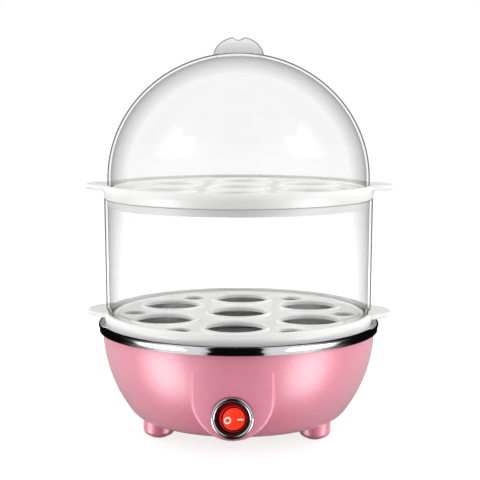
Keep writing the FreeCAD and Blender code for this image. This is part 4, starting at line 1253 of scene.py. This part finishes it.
# ---------------------------------------------------------------------------------------- trays, ring and dome
@dataclass
class EggTray:
    """A white tray: seven egg seats, six steam holes, a stepped rim, a spigot below and two finger tabs."""

    node: str
    body: str
    name: str
    floor_top: float = 5.6
    sheet: float = 2.0
    spigot: float = 4.3
    fill_r: float = 71.5
    seat_pitch: float = 48.0
    seat_r: float = 17.0
    steam_pitch: float = 62.0
    steam_r: float = 7.0
    first_seat_deg: float = 30.0
    wall_middle_r: float = 77.6
    tab_r: float = 20.0
    tab_tip_r: float = 90.0
    tab_low: float = 5.3
    tab_top: float = 8.1

    def rim(self, build: bmesh.types.BMesh) -> None:
        """Turns the tray's rim from the floor's top, over the lip, down the wall and spigot, to the floor's underside."""
        low = self.floor_top - self.sheet
        profile = rounded([
            (self.fill_r, self.floor_top), (72.2, self.floor_top, 0.4), (72.6, 6.8, 0.4), (73.6, 6.8, 0.4),
            (73.8, self.floor_top, 0.3), (76.8, self.floor_top, 0.3), (76.8, 8.3, 0.7), (78.4, 8.3, 0.8),
            (79.1, 5.2, 4.5), (78.2, 0.0, 0.9), (76.2, 0.0), (76.2, -self.spigot, 0.5), (74.4, -self.spigot, 0.4),
            (74.2, 0.0, 1.0), (72.6, low, 1.5), (self.fill_r, low),
        ], closed=False)
        turn_profile(build, profile, BIG_ROUND, closed=False)

    def collar(self, radius: float, flange: float, lip: float) -> bpy.types.Object:
        """The rounded edge of one hole, from the floor's top face down to its underside.

        Args:
            radius: the hole's radius.
            flange: how far the collar's flat reaches past it.
            lip: how high the collar stands above the floor.

        Returns:
            An open ring of faces at the origin.
        """
        top, low = self.floor_top, self.floor_top - self.sheet
        corners: list[Corner] = [(radius + flange, top)]
        if lip:
            corners += [(radius + 2.6, top, 0.3), (radius + 2.0, top + lip, 0.7), (radius + 0.7, top + lip, 0.6)]
        corners += [(radius, top - (0.0 if not lip else -0.2), 0.5), (radius, low, 0.5), (radius + flange, low)]
        build = bmesh.new()
        turn_profile(build, rounded(corners, closed=False), SMALL_ROUND, closed=False)
        return finish_mesh(build, "collar", [])

    def collars(self) -> list[bpy.types.Object]:
        """Every hole's edge: one seat in the middle, six round it and six steam holes between them."""
        white = WHITE_TRAY.material()
        seat_ring = RingOfCopies(6, self.seat_pitch, self.first_seat_deg)
        seats = seat_ring.piece("seats", self.collar(self.seat_r, 3.0, 1.1), white)
        steam_ring = RingOfCopies(6, self.steam_pitch, 0.0)
        steam = steam_ring.piece("steam_holes", self.collar(self.steam_r, 1.0, 0.0), white)
        return [seats, steam, self.collar(self.seat_r, 3.0, 1.1)]

    def tab(self, side: int) -> bpy.types.Object:
        """One finger tab with rounded edges.

        Args:
            side: 1 for the +X tab, -1 for the other.

        Returns:
            A closed disc that reaches into the rim.
        """
        profile = rounded([
            (0, self.tab_low), (self.tab_r, self.tab_low, 0.9), (self.tab_r, self.tab_top, 0.9), (0, self.tab_top)])
        build = bmesh.new()
        turn_profile(build, profile, SMALL_ROUND, centre=(side * (self.tab_tip_r - self.tab_r), 0.0))
        disc = finish_mesh(build, "tab", [WHITE_TRAY.material()])
        core = turned_piece("core", [
            (0, 0), (self.wall_middle_r, 0), (self.wall_middle_r, 20), (0, 20)], WHITE_TRAY)
        return combined(disc, [core], Cut.TAKE_AWAY)

    def build(self, like: bpy.types.Object | None = None) -> bpy.types.Object:
        """Makes the tray, or a copy of one that is already made.

        Args:
            like: a tray from the same mould that this one copies, or None.

        Returns:
            The finished tray.
        """
        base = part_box(self.node)[0].z + self.spigot * MM
        if like is None:
            build = joined(self.collars())
            self.rim(build)
            bmesh.ops.remove_doubles(build, verts=build.verts, dist=1e-3)
            for height in (self.floor_top, self.floor_top - self.sheet):
                edges = [e for e in build.edges if e.is_boundary and abs(e.verts[0].co.z - height) < 1e-3]
                bmesh.ops.triangle_fill(build, edges=edges, use_beauty=True, use_dissolve=False)
            piece = finish_mesh(build, self.name, [WHITE_TRAY.material()])
            combined(piece, [self.tab(1), self.tab(-1)], Cut.JOIN)
            shade(piece)
            piece.data.transform(Matrix.Translation((0, 0, base)))
        else:
            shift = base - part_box("lower_egg_tray")[0].z - self.spigot * MM
            piece = bpy.data.objects.new(self.name, like.data.copy())
            piece.data.transform(Matrix.Translation((0, 0, shift)))
            bpy.context.scene.collection.objects.link(piece)
        return settle(piece, self.body, [self.node])


@dataclass
class SpacerRing:
    """The clear ring between the trays, slightly wider at the top and drawn in at its foot."""

    wall: float = 1.8
    foot_r: float = 76.4
    low_r: float = 77.9
    top_r: float = 78.4
    step_height: float = 3.2

    def build(self) -> bpy.types.Object:
        """Turns the ring with its outer and inner faces in their own finishes."""
        low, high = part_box("spacer_ring")
        foot, top = low.z / MM, high.z / MM
        step = foot + self.step_height
        outer = rounded([
            (self.foot_r, foot, 0.3), (self.foot_r, step, 0.6), (self.low_r, step + 1.4, 1.2),
            (self.low_r + 0.25, 0.5 * (step + top)), (self.top_r, top, 0.5)], closed=False)
        inner = rounded([
            (self.top_r - self.wall, top, 0.3), (self.low_r + 0.25 - self.wall, 0.5 * (step + top)),
            (self.low_r - self.wall, step + 1.9, 1.2), (self.foot_r - self.wall, step + 0.5, 0.6),
            (self.foot_r - self.wall, foot, 0.3)], closed=False)
        skins = [Skin.OUTER.value] * len(outer) + [Skin.INNER.value] * len(inner)
        build = bmesh.new()
        turn_profile(build, outer + inner, BIG_ROUND, skins=skins)
        piece = finish_mesh(build, "spacer_ring_clear", [CLEAR_OUTER.material(), CLEAR_INNER.material()])
        return settle(piece, "spacer", ["spacer_ring"])


@dataclass
class DomeLid:
    """The clear dome, half an ellipsoid on a short skirt, with its hollow eared grip in the same moulding."""

    radius: float = 76.4
    rise: float = 72.8
    base_z: float = 148.0
    wall: float = 1.8
    grip_half_x: float = 14.6
    grip_half_y: float = 7.4
    grip_rise: float = 11.2
    grip_sink: float = 2.2
    notch_r: float = 4.2
    notch_lift: float = 2.3
    blend: float = 0.9
    grip_rows: int = 30
    segments: int = BIG_ROUND

    def dome_z(self, distance: float, inset: float) -> float:
        """Height of the bare dome at a distance from the axis.

        Args:
            distance: from the axis.
            inset: 0 on the outer face and the wall's thickness on the inner.

        Returns:
            The height in millimetres.
        """
        share = min(1.0, distance / (self.radius - inset))
        return self.base_z + (self.rise - inset) * math.sqrt(max(0.0, 1 - share ** 2))

    def grip_z(self, x: float, y: float, inset: float) -> float:
        """Height of the grip alone, or far below where it isn't.

        Args:
            x: the place's x.
            y: the place's y.
            inset: 0 on the outer face and the wall's thickness on the inner.

        Returns:
            The height in millimetres.
        """
        share = (x / (self.grip_half_x - inset)) ** 2 + (y / (self.grip_half_y - inset)) ** 2
        middle = self.base_z + self.rise - self.grip_sink
        if share >= 1:
            return middle - 8.0 * (share - 1)
        rise = self.grip_rise - (0.0 if not inset else inset + 1.6)
        height = middle + rise * math.sqrt(1 - share)
        if not inset and abs(x) < self.notch_r:
            notch = middle + self.grip_rise + self.notch_lift - math.sqrt(self.notch_r ** 2 - x ** 2)
            height = soft_lower(height, notch, 0.9)
        return height

    def surface(self, inset: float) -> list[list[tuple[float, float, float]]]:
        """Rings of points over one face, from the crown to the skirt.

        Args:
            inset: 0 on the outer face and the wall's thickness on the inner.

        Returns:
            One list of points for each ring; the first is the crown, repeated.
        """
        half_x, half_y = self.grip_half_x - inset, self.grip_half_y - inset
        rings = []
        blend_rows, dome_rows = 16, 60
        spread = 30.0
        shares = [math.sin(math.pi / 2 * k / self.grip_rows) for k in range(self.grip_rows + 1)]
        for share in shares:
            rings.append([(share * half_x * math.cos(a), share * half_y * math.sin(a)) for a in self.angles()])
        for k in range(1, blend_rows + 1):
            t = (k / blend_rows) ** 1.5
            rings.append([(
                (half_x + (spread - half_x) * t) * math.cos(a), (half_y + (spread - half_y) * t) * math.sin(a))
                for a in self.angles()])
        start = math.asin(spread / (self.radius - inset))
        for k in range(1, dome_rows + 1):
            radius = (self.radius - inset) * math.sin(start + (math.pi / 2 - start) * k / dome_rows)
            rings.append([(radius * math.cos(a), radius * math.sin(a)) for a in self.angles()])
        placed = []
        for ring in rings:
            placed.append([(x, y, soft_higher(
                self.dome_z(math.hypot(x, y), inset), self.grip_z(x, y, inset), self.blend)) for x, y in ring])
        return placed

    def angles(self) -> list[float]:
        """The directions round the axis at which the dome has points."""
        return [2 * math.pi * k / self.segments for k in range(self.segments)]

    def build(self) -> bpy.types.Object:
        """Makes both faces and joins them round the skirt's edge."""
        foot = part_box("dome_lid")[0].z / MM
        build = bmesh.new()
        faces = []
        for skin, inset in ((Skin.OUTER, 0.0), (Skin.INNER, self.wall)):
            rings = self.surface(inset)
            for height in (self.base_z - 1.2, foot + 0.5):
                rings.append([(x, y, height) for x, y, _ in rings[-1]])
            made = []
            for k, ring in enumerate(rings):
                if k == 0:
                    made.append([build.verts.new(ring[0])] * self.segments)
                else:
                    made.append([build.verts.new(point) for point in ring])
            for k, (low, high) in enumerate(zip(made, made[1:])):
                grip_skin = Skin.GRIP if skin is Skin.OUTER else Skin.POCKET
                join_rings(build, low, high, grip_skin.value if k < self.grip_rows else skin.value)
            faces.append(made[-1])
        lip = []
        for share, drop in ((0.08, 0.35), (0.25, 0.5), (0.75, 0.5), (0.92, 0.35)):
            ring = []
            for a, b in zip(*faces):
                point = a.co.lerp(b.co, share)
                ring.append(build.verts.new((point.x, point.y, foot + 0.5 - drop)))
            lip.append(ring)
        for low, high in zip([faces[0], *lip], [*lip, faces[1]]):
            join_rings(build, low, high, 0)
        skins = [CLEAR_SKINS[skin].material() for skin in Skin]
        piece = finish_mesh(build, "dome_lid_clear", skins, crease=math.radians(60))
        return settle(piece, "lid", ["dome_lid"])


def soft_higher(a: float, b: float, blend: float) -> float:
    """The higher of two heights, with a fillet of about blend where they cross."""
    gap = max(blend - abs(a - b), 0.0) / blend
    return max(a, b) + gap * gap * blend / 4


def soft_lower(a: float, b: float, blend: float) -> float:
    """The lower of two heights, with a rounded edge of about blend where they cross."""
    return -soft_higher(-a, -b, blend)


# ------------------------------------------------------------------------------------------- the studio
@dataclass(frozen=True)
class Softbox:
    """One studio lamp: where it stands, how big it is and how bright."""

    name: str
    azimuth_deg: float
    distance: float
    height: float
    width: float
    tall: float
    power: float
    mirrored: bool = False


@dataclass
class Studio:
    """A pale floor, soft lamps and the camera. Lengths are in metres."""

    camera_azimuth_deg: float = 2.45
    camera_distance: float = 0.72
    camera_height: float = 0.198
    pitch_deg: float = 6.85
    lens_mm: float = 92.3
    aim_right_deg: float = 0.065
    softboxes: tuple[Softbox, ...] = (
        Softbox("key_left", -72.0, 1.1, 0.3, 0.7, 1.0, 9.0),
        Softbox("key_right", 72.0, 1.1, 0.3, 0.7, 1.0, 9.0),
        Softbox("rim_left", -130.0, 1.0, 0.35, 0.5, 1.0, 7.0),
        Softbox("rim_right", 130.0, 1.0, 0.35, 0.5, 1.0, 7.0),
        Softbox("top", 0.0, 0.15, 1.3, 1.2, 1.2, 8.0),
    )

    def direction(self, azimuth_deg: float) -> Vector:
        """The flat direction from the object towards an azimuth, where 0 is the front."""
        angle = math.radians(azimuth_deg)
        return Vector((math.sin(angle), -math.cos(angle), 0.0))

    def camera(self) -> None:
        """Sets up the camera a little above the trays, looking slightly down."""
        data = bpy.data.cameras.new("camera")
        data.lens = self.lens_mm
        data.sensor_width = 36.0
        data.clip_start = 0.01
        camera = bpy.data.objects.new("camera", data)
        away = self.direction(self.camera_azimuth_deg) * self.camera_distance
        camera.location = away + Vector((0, 0, self.camera_height))
        turn = math.radians(self.camera_azimuth_deg - self.aim_right_deg)
        camera.rotation_euler = (math.radians(90 - self.pitch_deg), 0.0, turn)
        bpy.context.scene.collection.objects.link(camera)
        bpy.context.scene.camera = camera

    def lamps(self) -> None:
        """Places the softboxes, each turned to the middle of the object."""
        aim = Vector((0, 0, 0.11))
        for box in self.softboxes:
            data = bpy.data.lights.new(box.name, "AREA")
            data.shape = "RECTANGLE"
            data.size = box.width
            data.size_y = box.tall
            data.energy = box.power
            lamp = bpy.data.objects.new(box.name, data)
            lamp.location = self.direction(box.azimuth_deg) * box.distance + Vector((0, 0, box.height))
            lamp.rotation_euler = (lamp.location - aim).to_track_quat("Z", "Y").to_euler()
            lamp.visible_camera = False
            lamp.visible_glossy = box.mirrored
            bpy.context.scene.collection.objects.link(lamp)

    def surroundings(self) -> None:
        """A white backdrop for the camera, and for reflections a room.

        The room has a black card in front, pale side walls, two bright panels low at the sides and darkness behind.
        """
        world = bpy.data.worlds.new("studio")
        world.use_nodes = True
        tree = world.node_tree
        tree.nodes.clear()
        ray = add(tree, "ShaderNodeLightPath").outputs
        way = add(tree, "ShaderNodeSeparateXYZ", {"Vector": add(tree, "ShaderNodeTexCoord").outputs["Generated"]})
        behind = add(tree, "ShaderNodeMath", {0: way.outputs["Y"], 1: -1.0}, operation="MULTIPLY").outputs[0]
        around = add(tree, "ShaderNodeMath", {0: way.outputs["X"], 1: behind}, operation="ARCTAN2").outputs[0]
        aside = add(tree, "ShaderNodeMath", {0: around}, operation="ABSOLUTE").outputs[0]
        share = add(tree, "ShaderNodeMath", {0: aside, 1: math.pi}, operation="DIVIDE").outputs[0]
        walls = ramp(tree, share, [
            (0.124, grey(0.004)), (0.126, grey(0.45)), (0.134, grey(0.65)), (0.16, grey(0.9)), (0.34, grey(1.0)),
            (0.37, grey(0.85)), (0.42, grey(0.5)), (0.478, grey(0.25)), (0.54, grey(0.05)), (0.6, grey(0.004)),
            (0.93, grey(0.004)), (1.0, grey(0.35)),
        ])
        steepness = add(tree, "ShaderNodeMath", {0: way.outputs["Z"]}, operation="ABSOLUTE").outputs[0]
        beyond = add(tree, "ShaderNodeMapRange", {
            "Value": steepness, "From Min": 0.72, "From Max": 0.9}).outputs["Result"]
        around_us = add(tree, "ShaderNodeMix", {0: beyond, 6: walls, 7: grey(0.07)}, data_type="RGBA").outputs[2]
        beside = ramp(tree, share, [
            (0.24, grey(0.0)), (0.3, grey(1.0)), (0.42, grey(1.0)), (0.54, grey(0.0))])
        below = add(tree, "ShaderNodeMapRange", {
            "Value": way.outputs["Z"], "From Min": -0.235, "From Max": -0.27}).outputs["Result"]
        above = add(tree, "ShaderNodeMapRange", {
            "Value": way.outputs["Z"], "From Min": -0.8, "From Max": -0.6}).outputs["Result"]
        between = add(tree, "ShaderNodeMath", {0: above, 1: below}, operation="MULTIPLY").outputs[0]
        panel = add(tree, "ShaderNodeMath", {0: beside, 1: between}, operation="MULTIPLY").outputs[0]
        colour = add(tree, "ShaderNodeMix", {0: panel, 6: around_us, 7: grey(1.0)}, data_type="RGBA").outputs[2]
        strength = add(tree, "ShaderNodeMapRange", {
            "Value": panel, "To Min": 1.0, "To Max": 7.0}).outputs["Result"]
        seen_in_gloss = add(tree, "ShaderNodeBackground", {"Color": colour, "Strength": strength}).outputs[0]
        fill = add(tree, "ShaderNodeBackground", {"Color": grey(1.0), "Strength": 0.31}).outputs[0]
        backdrop = add(tree, "ShaderNodeBackground", {"Color": grey(1.0), "Strength": 1.0}).outputs[0]
        room = add(tree, "ShaderNodeMixShader", {0: ray["Is Glossy Ray"], 1: fill, 2: seen_in_gloss}).outputs[0]
        whole = add(tree, "ShaderNodeMixShader", {0: ray["Is Camera Ray"], 1: room, 2: backdrop}).outputs[0]
        add(tree, "ShaderNodeOutputWorld", {"Surface": whole})
        bpy.context.scene.world = world

    def floor(self) -> None:
        """A wide pale sheet that the feet stand on."""
        build = bmesh.new()
        bmesh.ops.create_grid(build, x_segments=1, y_segments=1, size=4000.0)
        material = bpy.data.materials.new("pale_floor_card")
        material.use_nodes = True
        tree = material.node_tree
        tree.nodes.clear()
        place = add(tree, "ShaderNodeTexCoord").outputs["Object"]
        away = add(tree, "ShaderNodeVectorMath", {0: place}, operation="LENGTH").outputs["Value"]
        glow = add(tree, "ShaderNodeMapRange", {
            "Value": away, "From Min": 0.12, "From Max": 0.3, "To Min": 0.8, "To Max": 0.92}).outputs["Result"]
        light = add(tree, "ShaderNodeEmission", {"Color": grey(1.0), "Strength": glow}).outputs[0]
        card = add(tree, "ShaderNodeBsdfDiffuse", {"Color": grey(0.3)}).outputs[0]
        seen = add(tree, "ShaderNodeAddShader", {0: light, 1: card}).outputs[0]
        bounce = add(tree, "ShaderNodeBsdfDiffuse", {"Color": grey(0.55)}).outputs[0]
        ray = add(tree, "ShaderNodeLightPath").outputs["Is Camera Ray"]
        surface = add(tree, "ShaderNodeMixShader", {0: ray, 1: bounce, 2: seen}).outputs[0]
        add(tree, "ShaderNodeOutputMaterial", {"Surface": surface})
        floor = finish_mesh(build, "floor", [material])
        floor.visible_glossy = False

    def build(self) -> None:
        """Sets up everything round the object."""
        self.camera()
        self.lamps()
        self.surroundings()
        self.floor()
        bpy.context.scene.view_settings.view_transform = "Standard"
        LOG.info("studio: %d lamps", len(self.softboxes))


def main() -> None:
    """Builds the cooker from the table up, then the studio round it."""
    logging.basicConfig(level=logging.INFO, format="%(name)s: %(message)s")
    HeatedBase().build()
    WaterDish().build()
    HeaterAndWiring().build()
    RockerSwitch().build()
    lower = EggTray("lower_egg_tray", "lower_tray", "lower_tray_moulding").build()
    EggTray("upper_egg_tray", "upper_tray", "upper_tray_moulding").build(like=lower)
    SpacerRing().build()
    DomeLid().build()
    Studio().build()


if __name__ == "__main__":
    main()
